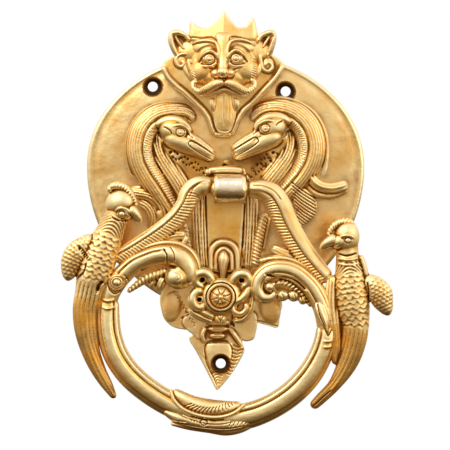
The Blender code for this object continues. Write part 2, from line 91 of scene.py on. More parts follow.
def wrap(name, places):
    """A flat grid of faces bent to places, an array of rows and columns of (x, z, depth)."""
    rows, columns = places.shape[:2]
    bpy.ops.object.select_all(action="DESELECT")
    bpy.ops.mesh.primitive_grid_add(x_subdivisions=columns - 1, y_subdivisions=rows - 1, size=2)
    piece = bpy.context.object
    piece.name = name
    flat = np.empty(rows * columns * 3, np.float32)
    piece.data.vertices.foreach_get("co", flat)
    flat = (flat.reshape(-1, 3) + 1) / 2
    column = np.rint(flat[:, 0] * (columns - 1)).astype(int)
    row = np.rint(flat[:, 1] * (rows - 1)).astype(int)
    put(piece, places[row, column])
    weld(piece)
    return piece


def cut_away(piece, cutter):
    """Cuts one piece out of another with a Boolean, and removes the cutter."""
    cut = piece.modifiers.new("cut", "BOOLEAN")
    cut.operation = "DIFFERENCE"
    cut.solver = "EXACT"
    cut.object = cutter
    bpy.ops.object.select_all(action="DESELECT")
    bpy.context.view_layer.objects.active = piece
    bpy.ops.object.modifier_apply(modifier="cut")
    bpy.data.objects.remove(cutter)


def turned(name, x, z, profile, steps=64):
    """A round piece that stands out from the door; profile is (radius, depth) from the back to the front."""
    turn = np.linspace(0, 2 * np.pi, steps + 1)
    section = np.array(profile, float)
    wide, out = section[:, :1], section[:, 1:]
    return wrap(name, np.dstack([x + wide * np.cos(turn), z + wide * np.sin(turn), out + 0 * turn]))


def weather(piece, rounds=28, full=0.22):
    """Stores how hollow the surface is at each point: 1 and over deep in a groove, below 0 on a worn edge."""
    mesh = piece.data
    count = len(mesh.vertices)
    ends = np.empty(len(mesh.edges) * 2, np.int32)
    mesh.edges.foreach_get("vertices", ends)
    one, two = ends[::2], ends[1::2]
    links = np.bincount(one, minlength=count) + np.bincount(two, minlength=count)
    links = np.maximum(links, 1)
    spots, normals = read(piece), facing(piece)
    eased = spots.copy()
    hollow = np.zeros(count)
    for turn in range(rounds):
        eased = np.column_stack(
            [
                (np.bincount(one, side[two], count) + np.bincount(two, side[one], count)) / links
                for side in eased.T
            ]
        )
        if turn in (5, rounds - 1):
            hollow += ((eased - spots) * normals).sum(axis=1) / full
    stored = mesh.attributes.new("hollow", "FLOAT", "POINT")
    stored.data.foreach_set("value", hollow.astype(np.float32))
    piece.data.shade_smooth()


PLATE_HALF_WIDTH = 75.3
PLATE_UP = 61.0
PLATE_DOWN = 79.5
PLATE_WALL = 2.6


def plate_front(share):
    """Depth of the plate's face, share of the way out from its middle; a roll stands up along its edge."""
    dish = 2.2 + 5.0 * (1 - share**2.4)
    roll = 0.32 * np.exp(-(((share - 0.977) / 0.013) ** 2))
    valley = -0.16 * np.exp(-(((share - 0.94) / 0.025) ** 2))
    return dish + roll + valley


def plate_reach(turn):
    """The edge of the egg-shaped plate, which hangs lower than it rises."""
    return PLATE_HALF_WIDTH * np.cos(turn), np.where(np.sin(turn) > 0, PLATE_UP, PLATE_DOWN) * np.sin(turn)


def make_plate():
    """The dished plate, hollow behind, with the slight unevenness of a hand-made mould on its face."""
    turn = np.linspace(0, 2 * np.pi, 289)
    face = np.concatenate([np.linspace(0, 0.86, 80), np.linspace(0.865, 0.985, 34)])
    edge = [(0.993, 2.3), (0.998, 1.9), (1.0, 1.3), (1.0, 0.5), (0.998, 0.0), (0.92, 0.0)]
    hollow = [(share, plate_front(share) - PLATE_WALL) for share in np.linspace(0.9, 0, 30)]
    section = np.array([(share, plate_front(share)) for share in face] + edge + hollow)
    share, depth = section[:, :1], section[:, 1:]
    wide, tall = plate_reach(turn)
    x, z = share * wide, share * tall
    uneven = 0.10 * np.sin(x / 9 + 1.3 * np.sin(z / 14)) * np.sin(z / 11 + 0.9 * np.sin(x / 17))
    front = (np.arange(len(section)) < len(face))[:, None]
    return wrap("plate_dish", np.dstack([x, z, depth + uneven * front * (1 - share**6)]))


SCREW_HOLES = {"left": (-39.5, 43.2), "right": (32.6, 40.6)}
SCREW_HOLE = 2.7
SCREW_HEAD = 4.7

plate = make_plate()
for hole_x, hole_z in SCREW_HOLES.values():
    reach = math.hypot(hole_x / PLATE_HALF_WIDTH, hole_z / PLATE_UP)
    face = float(plate_front(reach))
    sink = [
        (0, -2), (SCREW_HOLE, -2), (SCREW_HOLE, face - 2.2), (SCREW_HEAD, face - 0.35),
        (SCREW_HEAD + 0.5, face + 3),
    ]
    cut_away(plate, turned("sink", hole_x, hole_z, sink + [(0, face + 3)]))
weather(plate, full=0.5)


def darken_round(piece, x, z, reach, amount, below=99.0):
    """Darkens a piece as far as reach from (x, z), where it stands no further out than below."""
    spots = read(piece)
    stored = piece.data.attributes["hollow"]
    hollow = np.empty(len(spots), np.float32)
    stored.data.foreach_get("value", hollow)
    away = np.hypot(spots[:, 0] - x, spots[:, 1] - z) / reach
    darkening = amount * np.exp(-(away**12))
    reached = (spots[:, 2] < below) & (darkening > 0.05)
    hollow = np.where(reached, np.maximum(hollow, darkening), hollow)
    stored.data.foreach_set("value", hollow.astype(np.float32))


# darken the plate round each screw head
for hole_x, hole_z in SCREW_HOLES.values():
    darken_round(plate, hole_x, hole_z, SCREW_HEAD + 0.5, 6.0)


def tone(code):
    """The linear colour of an sRGB hex code."""
    parts = [int(code[k : k + 2], 16) / 255 for k in (0, 2, 4)]
    return (*[p / 12.92 if p <= 0.04045 else ((p + 0.055) / 1.055) ** 2.4 for p in parts], 1.0)


def add(tree, kind, inputs=None, stops=(), **settings):
    """Adds a node: settings are its properties, inputs its sockets, each given a value or an output.

    stops are the (place, hex colour) pairs of a colour ramp.
    """
    made = tree.nodes.new(kind)
    for key, value in settings.items():
        setattr(made, key, value)
    for socket, value in (inputs or {}).items():
        if isinstance(value, bpy.types.NodeSocket):
            tree.links.new(value, made.inputs[socket])
        else:
            made.inputs[socket].default_value = value
    if stops:
        band = made.color_ramp.elements
        while len(band) < len(stops):
            band.new(0.5)
        for element, (place, code) in zip(band, stops):
            element.position = place
            element.color = tone(code)
    return made


def polished_cast_brass(name, bright, warm, patina, polish, grain_depth, wave_depth=0.3):
    """Polished cast brass: yellow brass cast in sand, wire-brushed and buffed, then left to tone down.

    Hollows stay brown and dull, partly patina that the buff can't reach and partly painted shade, proud
    edges rub bright, and fine brush lines blur the gloss.
    """
    made = bpy.data.materials.new(name)
    made.use_nodes = True
    tree = made.node_tree
    shader = tree.nodes["Principled BSDF"]
    place = add(tree, "ShaderNodeTexCoord").outputs["Object"]
    # patches of tone 12 mm wide, and specks of cast skin 0.7 mm wide
    patches = add(tree, "ShaderNodeTexNoise", {"Vector": place, "Scale": 80.0, "Detail": 4.0}).outputs["Fac"]
    specks = add(tree, "ShaderNodeTexNoise", {"Vector": place, "Scale": 1100.0, "Detail": 2.0}).outputs["Fac"]
    hollow = add(tree, "ShaderNodeAttribute", attribute_name="hollow").outputs["Fac"]
    mottled = add(tree, "ShaderNodeMath", {0: patches, 1: 2.2, 2: -1.1}, operation="MULTIPLY_ADD").outputs[0]
    # brown patina, partly painted shade, wherever the surface is hollow, mottled by the tone patches
    patina_and_shade = add(tree, "ShaderNodeMath", {0: hollow, 1: mottled}, operation="ADD").outputs[0]
    eased = {"interpolation_type": "SMOOTHSTEP"}
    dull = add(tree, "ShaderNodeMapRange", {"Value": patina_and_shade, 1: 0.1, 2: 1.6}, **eased).outputs["Result"]
    rub = {"Value": hollow, 1: -1.0, 2: -0.15, 3: 1.0, 4: 0.0}
    rubbed = add(tree, "ShaderNodeMapRange", rub, **eased).outputs["Result"]
    tones = ((0.34, warm), (0.6, bright))
    metal = add(tree, "ShaderNodeValToRGB", {"Fac": patches}, tones).outputs["Color"]
    worn = add(
        tree, "ShaderNodeMix", {"Factor": rubbed, "A": metal, "B": tone("FBE3AC")}, data_type="RGBA"
    ).outputs["Result"]
    colour = add(
        tree, "ShaderNodeMix", {"Factor": dull, "A": worn, "B": tone(patina)}, data_type="RGBA"
    ).outputs["Result"]
    # near-black brown in the deepest hollows, partly grime and partly painted shade, and round the screw
    # heads
    pits = {"Value": hollow, 1: 3.0, 2: 5.0, 4: 0.85}
    grime_and_shade = add(tree, "ShaderNodeMapRange", pits, **eased).outputs["Result"]
    colour = add(
        tree, "ShaderNodeMix", {"Factor": grime_and_shade, "A": colour, "B": tone("38220E")}, data_type="RGBA"
    ).outputs["Result"]
    tree.links.new(colour, shader.inputs["Base Color"])
    bare = add(tree, "ShaderNodeMapRange", {"Value": dull, 3: 1.0, 4: 0.92}, **eased).outputs["Result"]
    tree.links.new(bare, shader.inputs["Metallic"])
    gloss = add(tree, "ShaderNodeMath", {0: dull, 1: 0.3, 2: polish}, operation="MULTIPLY_ADD").outputs[0]
    gloss = add(tree, "ShaderNodeMath", {0: specks, 1: 0.12, 2: gloss}, operation="MULTIPLY_ADD").outputs[0]
    tree.links.new(gloss, shader.inputs["Roughness"])
    # brush lines 0.3 mm apart that run 8 mm or so, lying mostly across the piece
    along = add(
        tree, "ShaderNodeMapping", {"Vector": place, "Rotation": (0, 0.5, 0), "Scale": (130, 900, 3300)}
    )
    brush = {"Vector": along.outputs[0], "Scale": 1.0, "Detail": 2.0}
    lines = add(tree, "ShaderNodeTexNoise", brush).outputs["Fac"]
    skin = add(tree, "ShaderNodeMath", {0: lines, 1: 0.35, 2: specks}, operation="MULTIPLY_ADD").outputs[0]
    # slow waves 6 mm wide, left by the hand-made mould and the buff
    waves = add(tree, "ShaderNodeTexNoise", {"Vector": place, "Scale": 170.0, "Detail": 2.0}).outputs["Fac"]
    waves = add(tree, "ShaderNodeBump", {"Height": waves, "Strength": 1.0, "Distance": wave_depth * MM})
    given = {"Height": skin, "Strength": 0.6, "Distance": grain_depth * MM, "Normal": waves.outputs["Normal"]}
    relief = add(tree, "ShaderNodeBump", given)
    tree.links.new(relief.outputs["Normal"], shader.inputs["Normal"])
    return made


plate_brass = polished_cast_brass("buffed_cast_brass", "FFDD9C", "EEBC70", "8E581A", 0.25, 0.03)
plate.data.materials.clear()
plate.data.materials.append(plate_brass)
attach(plate, "backplate")
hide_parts("back_plate")


# --------------------------------------------------------------------------------------------------
# Mask shield.  A V-shaped collar cast with the plate, which lifts the lion's head clear of it.  Yellow
# brass, filed smooth, with a rolled edge and a small volute under each ear.


def follow(points, pitch=0.6):
    """Rows of numbers made into many, pitch apart, on a smooth curve, and how far along each one is."""
    given = np.array(points, float)
    ends = np.vstack([2 * given[0] - given[1], given, 2 * given[-1] - given[-2]])
    t = np.linspace(0, 1, 16, endpoint=False)[:, None]
    fine = []
    for a, b, c, d in zip(ends, ends[1:], ends[2:], ends[3:]):
        bend, twist = 2 * a - 5 * b + 4 * c - d, 3 * b - a - 3 * c + d
        fine.append((2 * b + (c - a) * t + bend * t**2 + twist * t**3) / 2)
    fine = np.vstack([*fine, given[-1:]])
    steps = np.linalg.norm(np.diff(fine[:, :3], axis=0), axis=1)
    run = np.concatenate([[0], np.cumsum(steps)])
    even = np.linspace(0, run[-1], max(int(run[-1] / pitch), 8))
    return np.column_stack([np.interp(even, run, column) for column in fine.T]), even


def bar(points, relief=None, around=28, pitch=0.6):
    """A bar of oval section through points (x, z, depth, half width, half depth), with rounded ends.

    relief(along, across) raises the front of its surface, where across is how far to the right of travel.
    """
    rows, along = follow(points, pitch)
    heading = np.gradient(rows[:, :2], axis=0)
    side = np.column_stack([heading[:, 1], -heading[:, 0]])
    side /= np.linalg.norm(side, axis=1, keepdims=True) + 1e-9
    turn = np.linspace(-np.pi, np.pi, around + 1)[None, :]
    size = np.minimum(rows[:, 3], rows[:, 4])
    near_end = np.minimum(np.minimum(along, along[-1] - along) / size, 1)
    close = np.sqrt(1 - (1 - near_end) ** 2)[:, None]
    wide, deep = rows[:, 3:4] * close, rows[:, 4:5] * close
    front = np.clip(3 * np.sin(turn), 0, 1)
    bump = relief(along[:, None], np.cos(turn) * wide) * close * front if relief else 0.0
    across = np.cos(turn) * (wide + bump)
    x = rows[:, 0:1] + side[:, 0:1] * across
    z = rows[:, 1:2] + side[:, 1:2] * across
    return wrap("bar", np.dstack([x, z, rows[:, 2:3] + np.sin(turn) * (deep + bump)]))


def lump(x, z, depth, half, tilt=0.0):
    """A rounded lump; half is (across, up, out), and tilt is in degrees, anticlockwise from the front."""
    bpy.ops.object.select_all(action="DESELECT")
    bpy.ops.mesh.primitive_uv_sphere_add(segments=28, ring_count=16, radius=1)
    piece = bpy.context.object
    ball = np.empty(len(piece.data.vertices) * 3, np.float32)
    piece.data.vertices.foreach_get("co", ball)
    ball = ball.reshape(-1, 3) * np.array(half)
    a = math.radians(tilt)
    across = x + ball[:, 0] * math.cos(a) - ball[:, 1] * math.sin(a)
    up = z + ball[:, 0] * math.sin(a) + ball[:, 1] * math.cos(a)
    put(piece, np.column_stack([across, up, depth + ball[:, 2]]))
    weld(piece)
    return piece


def sheet(outline, back, front):
    """A flat outline of (x, z), solid from one depth to another."""
    data = bpy.data.curves.new("sheet", "CURVE")
    data.dimensions = "2D"
    data.fill_mode = "BOTH"
    data.extrude = (front - back) / 2 * MM
    spline = data.splines.new("POLY")
    spline.points.add(len(outline) - 1)
    for point, (x, z) in zip(spline.points, outline):
        point.co = (x * MM, z * MM, 0, 1)
    spline.use_cyclic_u = True
    piece = bpy.data.objects.new("sheet", data)
    bpy.context.collection.objects.link(piece)
    piece.rotation_euler = (math.radians(90), 0, 0)
    piece.location = (0, -(front + back) / 2 * MM, 0)
    bpy.ops.object.select_all(action="DESELECT")
    piece.select_set(True)
    bpy.context.view_layer.objects.active = piece
    bpy.ops.object.convert(target="MESH")
    bpy.ops.object.transform_apply(location=True, rotation=True, scale=True)
    piece = bpy.context.object
    weld(piece)
    return piece


def rounded(outline, pitch=1.0):
    """A closed outline with its corners eased."""
    closed = [*outline, outline[0]]
    return [tuple(row) for row in follow([(x, z, 0) for x, z in closed], pitch)[0][:-1, :2]]


def cast(name, parts, grain=0.4, soften=3):
    """Runs parts together as one casting: joined, skinned over in steps of grain, and softened."""
    bpy.ops.object.select_all(action="DESELECT")
    for part in parts:
        part.select_set(True)
    bpy.context.view_layer.objects.active = parts[0]
    bpy.ops.object.join()
    piece = bpy.context.object
    piece.name = name
    skin = piece.modifiers.new("skin", "REMESH")
    skin.mode = "VOXEL"
    skin.voxel_size = grain * MM
    easing = piece.modifiers.new("easing", "SMOOTH")
    easing.factor = 0.5
    easing.iterations = soften
    bpy.ops.object.modifier_apply(modifier="skin")
    bpy.ops.object.modifier_apply(modifier="easing")
    return piece


def chase(piece, points, width, depth, ticks=0.0, least=0.15):
    """Works a line (x, z) across a piece's front with a tool: depth above 0 raises it, and below 0 cuts it.

    ticks is the spacing of notches along it, if it has any.  Only faces that look out by more than least
    are worked.
    """
    spots, normals = read(piece), facing(piece)
    line, along = follow([(x, z, 0) for x, z in points], 0.35)
    half = width / 2
    low, high = line[:, :2].min(axis=0) - half, line[:, :2].max(axis=0) + half
    within = np.all((spots[:, :2] > low) & (spots[:, :2] < high), axis=1)
    chosen = np.flatnonzero((normals[:, 2] > least) & within)
    if not len(chosen):
        return
    away = np.linalg.norm(spots[chosen, None, :2] - line[None, :, :2], axis=2)
    nearest = away.argmin(axis=1)
    near = away[np.arange(len(chosen)), nearest] / half
    force = np.where(near < 1, (1 - np.minimum(near, 1) ** 2) ** 2, 0)
    run = along[nearest]
    force *= np.clip(np.minimum(run, along[-1] - run) / half + 0.25, 0, 1)
    if ticks:
        force *= 0.5 + 0.5 * np.cos(run * 2 * np.pi / ticks)
    spots[chosen, 2] += depth * force * np.clip(normals[chosen, 2] * 1.4, 0, 1)
    put(piece, spots)


def seat(piece):
    """Presses the back of a relief forward into the plate's wall, where the two are cast in one."""
    spots = read(piece)
    tall = np.where(spots[:, 1] > 0, PLATE_UP, PLATE_DOWN)
    share = np.hypot(spots[:, 0] / PLATE_HALF_WIDTH, spots[:, 1] / tall)
    pressed = np.maximum(spots[:, 2], plate_front(np.minimum(share, 1)) - 1.3)
    spots[:, 2] = np.where(share < 0.96, pressed, spots[:, 2])
    put(piece, spots)


def finish_brass(piece, name, material, body, nodes, full=0.22):
    """Weathers a finished casting, gives it its brass, and rides it on its body in place of CAD nodes."""
    piece.name = name
    piece.data.name = name
    weather(piece, full=full)
    piece.data.materials.clear()
    piece.data.materials.append(material)
    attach(piece, body)
    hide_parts(*nodes)


cast_brass = polished_cast_brass("sand_cast_brass", "FBCE7C", "E8A94A", "84500F", 0.37, 0.08)
mask_brass = polished_cast_brass("buffed_mask_brass", "FFDA90", "F8C068", "9A641E", 0.34, 0.06)

SHIELD_SIDES = {
    "left": [
        (-34, 54), (-31.5, 48.6), (-27, 43.6), (-22, 39.6), (-17, 35), (-12.6, 30.4), (-9.6, 26),
        (-7.6, 20.4), (-6, 16.8),
    ],
    "right": [
        (31.4, 54.8), (29, 50.5), (25, 45.2), (20, 40), (15, 34.6), (10, 30), (7, 25), (5, 20), (3, 16.6),
    ],
}
SHIELD_TOP = [
    (31.4, 55.6), (29, 58), (24.5, 60.4), (18, 64), (16, 68), (-18, 68), (-21, 64), (-26, 60.4),
    (-31.6, 58), (-34.4, 54.8),
]
shield_outline = [*SHIELD_SIDES["left"], (-2, 15.8), *reversed(SHIELD_SIDES["right"]), *SHIELD_TOP]
shield_parts = [sheet(rounded(shield_outline), 1.4, 9.2)]
for edge in SHIELD_SIDES.values():
    shield_parts.append(bar([(x, z, 8.8, 1.5, 1.9) for x, z in edge]))
shield_parts.append(
    bar([(-6.4, 17.2, 8.8, 1.4, 1.9), (-1.5, 16.6, 8.8, 1.4, 1.9), (3.4, 17, 8.8, 1.4, 1.9)])
)
shield_parts.append(lump(-1, 62, 8.6, (27, 10, 4.5)))
shield_parts.append(lump(-24.4, 56.8, 9.4, (3.4, 3.6, 2.3)))
shield_parts.append(lump(22.6, 54.6, 9.4, (3.6, 4.0, 2.3)))
LEFT_CURL = [
    (-21, 60.6), (-24.6, 60.2), (-26.8, 57.8), (-26.2, 54.8), (-23.8, 53.6), (-22.4, 55.4), (-23.6, 56.8),
]
RIGHT_CURL = [
    (18.6, 60.4), (19.2, 56), (20.2, 52.4), (23, 51), (25.2, 53), (24.2, 55.6), (22, 55.2), (22, 53.6),
]
for curl in (LEFT_CURL, RIGHT_CURL):
    shield_parts.append(bar([(x, z, 10.7, 1.0, 1.5) for x, z in curl]))
shield = cast("mask_shield_collar", shield_parts)
# the collar is dished the other way, so that its middle stands out
spots = read(shield)
share = ((spots[:, 0] + 1) / 36) ** 2 + ((spots[:, 1] - 47) / 36) ** 2
spots[:, 2] += 3.4 * np.clip(1 - share, 0, 1) * np.clip((spots[:, 2] - 5) / 2, 0, 1)
put(shield, spots)
for side, inset in (("left", 2.2), ("right", -2.0)):
    chase(shield, [(x + inset, z + 0.6) for x, z in SHIELD_SIDES[side][2:]], 1.3, -0.5)
seat(shield)
finish_brass(shield, "mask_shield_collar", mask_brass, "backplate", ["mask_shield"], full=0.34)


# --------------------------------------------------------------------------------------------------
# Lion mask.  A crowned lion's face with bulging eyes, a combed moustache and a long tongue, cast with
# the plate.  Its brows, lids, whiskers and ears are cut with chisels after casting, so their lines are
# crisp and uneven.

MASK_X = -1.0


def crown_bow(piece):
    """Bends the crown round the forehead, and gives each of its points a ridge down the middle."""
    spots = read(piece)
    front = np.clip((spots[:, 2] - 12) / 3, 0, 1)
    spots[:, 2] -= ((spots[:, 0] - MASK_X) / 19) ** 2 * 3.6 * (0.4 + 0.6 * front)
    for ridge_x, foot, tip in ((-0.9, 70, 84), (-17.6, 68, 78), (14.9, 68, 81)):
        rise = np.clip((spots[:, 1] - foot) / (tip - foot), 0, 1) ** 0.5
        spots[:, 2] += front * rise * 1.3 * np.clip(1 - np.abs(spots[:, 0] - ridge_x) / 4.4, 0, 1)
    spots[:, 2] -= front * np.clip((spots[:, 1] - 69) / 14, 0, 1) * 3.2
    put(piece, spots)


CROWN = [
    (-19.8, 66.5), (-20, 71), (-19.4, 74), (-19.3, 77.6), (-18.4, 78), (-16, 76.2), (-13.4, 74.6),
    (-11, 74.2), (-8, 75.6), (-5, 78.2), (-2.6, 81.6), (-0.9, 83.9), (0.8, 81.8), (3, 78.4), (5.6, 75.4),
    (8, 74.3), (10.4, 75.2), (12.6, 77.8), (14.6, 80.8), (15.6, 79.4), (16.6, 75.4), (17.4, 71),
    (17.8, 66.4), (13.4, 67.2), (9, 69), (5, 69.8), (2, 69.4), (0.2, 67.4), (-3.2, 67), (-4.6, 68.6),
    (-7.6, 69.2), (-12, 67.8),
]
LEFT_EYE, RIGHT_EYE = (-8.7, 57.5), (5.6, 57.6)
TONGUE = [
    (-5.2, 41), (-5.6, 34), (-6.6, 28), (-5.8, 22), (-4.2, 18.6), (-2, 17.6), (1.4, 17.8), (3.2, 19.6),
    (4.8, 24), (5.6, 28.6), (4.2, 33), (3.6, 41),
]
WHISKERS = {
    "left": [
        (-0.8, 45.2, 20.2, 1.9, 2.4), (-5, 44.0, 20.2, 2.4, 2.6), (-10, 41.4, 19, 2.4, 2.4),
        (-14, 40, 17.4, 2.0, 2), (-17, 41.8, 15.8, 1.6, 1.7), (-17.2, 44.8, 15.2, 1.5, 1.5),
        (-15, 45.6, 15.4, 1.2, 1.3),
    ],
    "right": [
        (-0.8, 45.2, 20.2, 1.9, 2.4), (3.6, 43.8, 20.2, 2.4, 2.6), (8.4, 41, 19, 2.5, 2.4),
        (12, 40.2, 17.4, 2.2, 2), (15.2, 42.6, 15.8, 1.7, 1.7), (15.2, 45.8, 15.2, 1.5, 1.5),
        (13, 46, 15.6, 1.2, 1.3),
    ],
}

mask_parts = [
    lump(MASK_X, 55.5, 10.5, (19.2, 15.8, 8.6)),
    lump(MASK_X, 63.4, 11.6, (18.2, 7.6, 6.6)),
    lump(MASK_X, 48, 12.4, (14.6, 7.4, 6.8)),
    lump(-11.4, 51.2, 12.8, (8.4, 7.6, 5.4), 20),
    lump(9.8, 51.8, 12.8, (8.4, 7.6, 5.4), -20),
    # forehead ridge that runs down from the crown to the tip of the nose
    bar([
        (-1, 72.6, 13.4, 5.0, 2.4), (-1.1, 69.2, 15.2, 4.4, 2.7), (-1.4, 65.2, 16.2, 3.7, 2.9),
        (-1.5, 61, 17, 3.1, 3), (-1.5, 56, 18.4, 2.8, 3.1), (-1.5, 51, 20.0, 3.2, 3.5),
    ]),
    lump(-1.5, 50.2, 21.0, (3.3, 3.0, 3.2)),
    lump(-5.0, 49.6, 18.8, (2.9, 2.5, 2.8), -16),
    lump(2.2, 49.8, 18.8, (2.9, 2.5, 2.8), 16),
    # brow lines, and the lids round each eye
    bar([
        (-18.8, 65.4, 12.6, 0.8, 1.4), (-14, 67.2, 15.4, 0.9, 1.5), (-9, 67.4, 17, 0.9, 1.5),
        (-5.2, 66, 18, 0.9, 1.5), (-3.8, 62, 18.8, 0.9, 1.5), (-3.7, 57, 19.2, 0.7, 1.3),
    ]),
    bar([
        (16.6, 64.8, 12.6, 0.8, 1.4), (11.6, 67.2, 15.4, 0.9, 1.5), (6.6, 68, 16.8, 0.9, 1.5),
        (2.6, 66.6, 18, 0.9, 1.5), (0.9, 62.6, 18.8, 0.9, 1.5), (0.7, 57.4, 19.2, 0.7, 1.3),
    ]),
    lump(*LEFT_EYE, 16.6, (4.3, 3.8, 3.6)),
    lump(*RIGHT_EYE, 16.6, (4.3, 4.0, 3.6)),
    bar([
        (-15.4, 54.8, 15.2, 0.6, 1), (-12.6, 59.4, 17.6, 0.8, 1.4), (-8.6, 61.7, 18.8, 0.9, 1.5),
        (-5.4, 60, 19, 0.8, 1.4), (-4.4, 56.8, 18.6, 0.6, 1),
    ]),
    bar([
        (-14.6, 54.6, 15.6, 0.6, 1), (-11.4, 53.6, 17.6, 0.8, 1.2), (-7.8, 53.6, 18.2, 0.8, 1.2),
        (-5, 55.4, 18.4, 0.6, 1),
    ]),
    bar([
        (1.2, 56.2, 18.6, 0.6, 1), (2.2, 59.8, 19, 0.8, 1.4), (5.4, 62.2, 18.8, 0.9, 1.5),
        (9.6, 60, 17.6, 0.8, 1.4), (13.4, 54.4, 15, 0.6, 1),
    ]),
    bar([
        (1.8, 55.2, 18.4, 0.6, 1), (4.6, 53.6, 18.2, 0.8, 1.2), (8.2, 53.8, 17.6, 0.8, 1.2),
        (12, 54.8, 15.8, 0.6, 1),
    ]),
    # lip, tongue and fangs
    bar([
        (-14, 37.8, 13, 0.8, 1.2), (-9, 38.2, 15.2, 1.0, 1.5), (-4, 40, 16.8, 1.1, 1.6),
        (-0.6, 41.2, 17.2, 1.1, 1.6), (4, 39.6, 16.6, 1.1, 1.6), (9, 37.8, 15, 1.0, 1.5),
        (12.2, 38.4, 13, 0.8, 1.2),
    ]),
    sheet(rounded(TONGUE), 8.4, 13.2),
    lump(-0.8, 31, 11.8, (6, 15, 2.4)),
    bar([(-7.7, 37, 12.4, 1.2, 1.6), (-7.3, 33, 12.4, 1.7, 1.8), (-7.0, 29.6, 12, 0.8, 1.2)]),
    bar([(5.6, 37, 12.4, 1.2, 1.6), (6.2, 33, 12.4, 1.7, 1.8), (6.2, 29.6, 12, 0.8, 1.2)]),
    # ears: a thin shell with a rolled rim
    sheet(
        rounded([
            (-19, 58), (-26, 58.4), (-28.8, 63.5), (-30.6, 67.6), (-30.8, 71), (-29, 73.2), (-25.4, 73.2),
            (-21.8, 71.6), (-19, 69), (-17.4, 64),
        ]),
        8.4, 11.8,
    ),
    bar([
        (-24.6, 57.6, 11, 1.3, 2), (-27.4, 62, 12, 1.6, 1.9), (-29.4, 67.4, 12.4, 1.7, 1.9),
        (-28.8, 71.2, 12.4, 1.7, 1.8), (-26, 72.0, 12.6, 1.6, 1.8), (-22.2, 70.8, 13.2, 1.2, 1.8),
        (-19.2, 67.4, 13.4, 1.2, 1.8),
    ]),
    bar([(-27.6, 70.4, 12, 0.7, 1.2), (-25.2, 66.8, 12.4, 0.8, 1.4), (-22.4, 62.8, 12.6, 0.8, 1.4)]),
    sheet(
        rounded([
            (16.4, 58), (23.4, 58.4), (25.6, 63), (27.2, 68.8), (27.2, 72.2), (25.6, 73.4), (22.2, 72.8),
            (19.2, 71), (17, 68.4), (15.4, 64),
        ]),
        8.4, 11.8,
    ),
    bar([
        (22.4, 58.4, 11, 1.2, 2), (24.4, 62.8, 12, 1.6, 1.9), (25.8, 68.4, 12.4, 1.7, 1.9),
        (25.4, 71.8, 12.4, 1.6, 1.8), (22.6, 71.6, 12.6, 1.6, 1.8), (19.4, 70.2, 13.2, 1.2, 1.8),
        (17, 66.6, 13.4, 1.2, 1.8),
    ]),
    bar([(24.6, 71, 12, 0.7, 1.2), (22, 67.4, 12.4, 0.8, 1.4), (20, 63.4, 12.6, 0.8, 1.4)]),
    # wavy locks behind the cheeks
    bar([(-22.8, 56.6, 11.2, 1.3, 2), (-21.4, 51.4, 11.8, 1.5, 2.2), (-18, 45.8, 12.4, 1.1, 1.6)]),
    bar([(-20.2, 58.2, 12, 1.2, 2.2), (-19, 52.6, 12.6, 1.4, 2.4), (-16.2, 46.8, 13.4, 1.1, 1.6)]),
    bar([(19.4, 57.4, 11.6, 1.2, 2), (18.4, 51.8, 12.2, 1.4, 2.3), (16.2, 47.2, 13, 1.1, 1.6)]),
    *[bar(route) for route in WHISKERS.values()],
]
crown = sheet(CROWN, 9.5, 15.6)
crown = cast("crown", [crown], grain=0.5, soften=3)
crown_bow(crown)
mask = cast("lion_mask_face", [*mask_parts, crown], grain=0.36, soften=5)

# rings of the eyes
for eye_x, eye_z in (LEFT_EYE, RIGHT_EYE):
    for radius, cut in ((2.9, -0.6), (1.4, -0.5)):
        ring = [
            (eye_x + radius * math.cos(a), eye_z + radius * math.sin(a))
            for a in np.linspace(0, 2 * np.pi, 13)
        ]
        chase(mask, ring, 0.9, cut)
# lids, brows, nostrils and mouth
for line, width, depth in (
    ([(-14.4, 55.4), (-12.2, 58.6), (-8.7, 60.7), (-6, 59.4), (-5, 57)], 1.1, -0.8),
    ([(-13.6, 54.9), (-11, 54.6), (-8, 54.5), (-5.6, 56)], 1.0, -0.7),
    ([(1.9, 57), (2.9, 59.6), (5.5, 61.2), (8.8, 59.4), (12, 55.4)], 1.1, -0.8),
    ([(2.4, 56), (4.8, 54.6), (8, 54.7), (11, 55.4)], 1.0, -0.7),
    ([(-16.4, 57), (-13.6, 62.2), (-8.8, 64.2), (-5.4, 62.4)], 2.6, -0.5),
    ([(14.4, 57), (11, 62.4), (6, 64.8), (2.4, 62.8)], 2.6, -0.5),
    ([(-9.4, 53), (-6.6, 52.2), (-4.5, 53.8), (-3.9, 56.4)], 1.8, -1.3),
    ([(0.9, 55.8), (1.5, 53), (3.6, 51.8), (6.6, 52.4)], 1.4, -0.7),
    (
        [(-8.2, 51.6), (-7.2, 47.8), (-3.8, 46.6), (-1.5, 47), (0.8, 46.6), (4, 47.4), (5.2, 50.6)], 1.3,
        -0.7,
    ),
    ([(-3.2, 51.6), (-3.2, 48.8)], 0.9, -0.5),
    ([(0.2, 51.6), (0.4, 48.8)], 0.9, -0.5),
    ([(-19, 69.4), (-13.4, 69), (-8, 69.4), (-5.2, 68), (-4.6, 66.6)], 1.2, -0.7),
    ([(1.9, 67.6), (2.4, 69.2), (5, 69.7), (9.4, 68.7), (15.4, 67)], 1.2, -0.7),
):
    chase(mask, line, width, depth)
# hairs across the moustache
for side, route in WHISKERS.items():
    spine = follow([(x, z, 0) for x, z, *_ in route[:5]], 1.25)[0]
    lean = 0.7 if side == "left" else -0.7
    for x, z, _ in spine:
        chase(mask, [(x + lean * 1.6, z + 2.2), (x, z), (x - lean * 1.2, z - 2.2)], 0.75, -0.5)
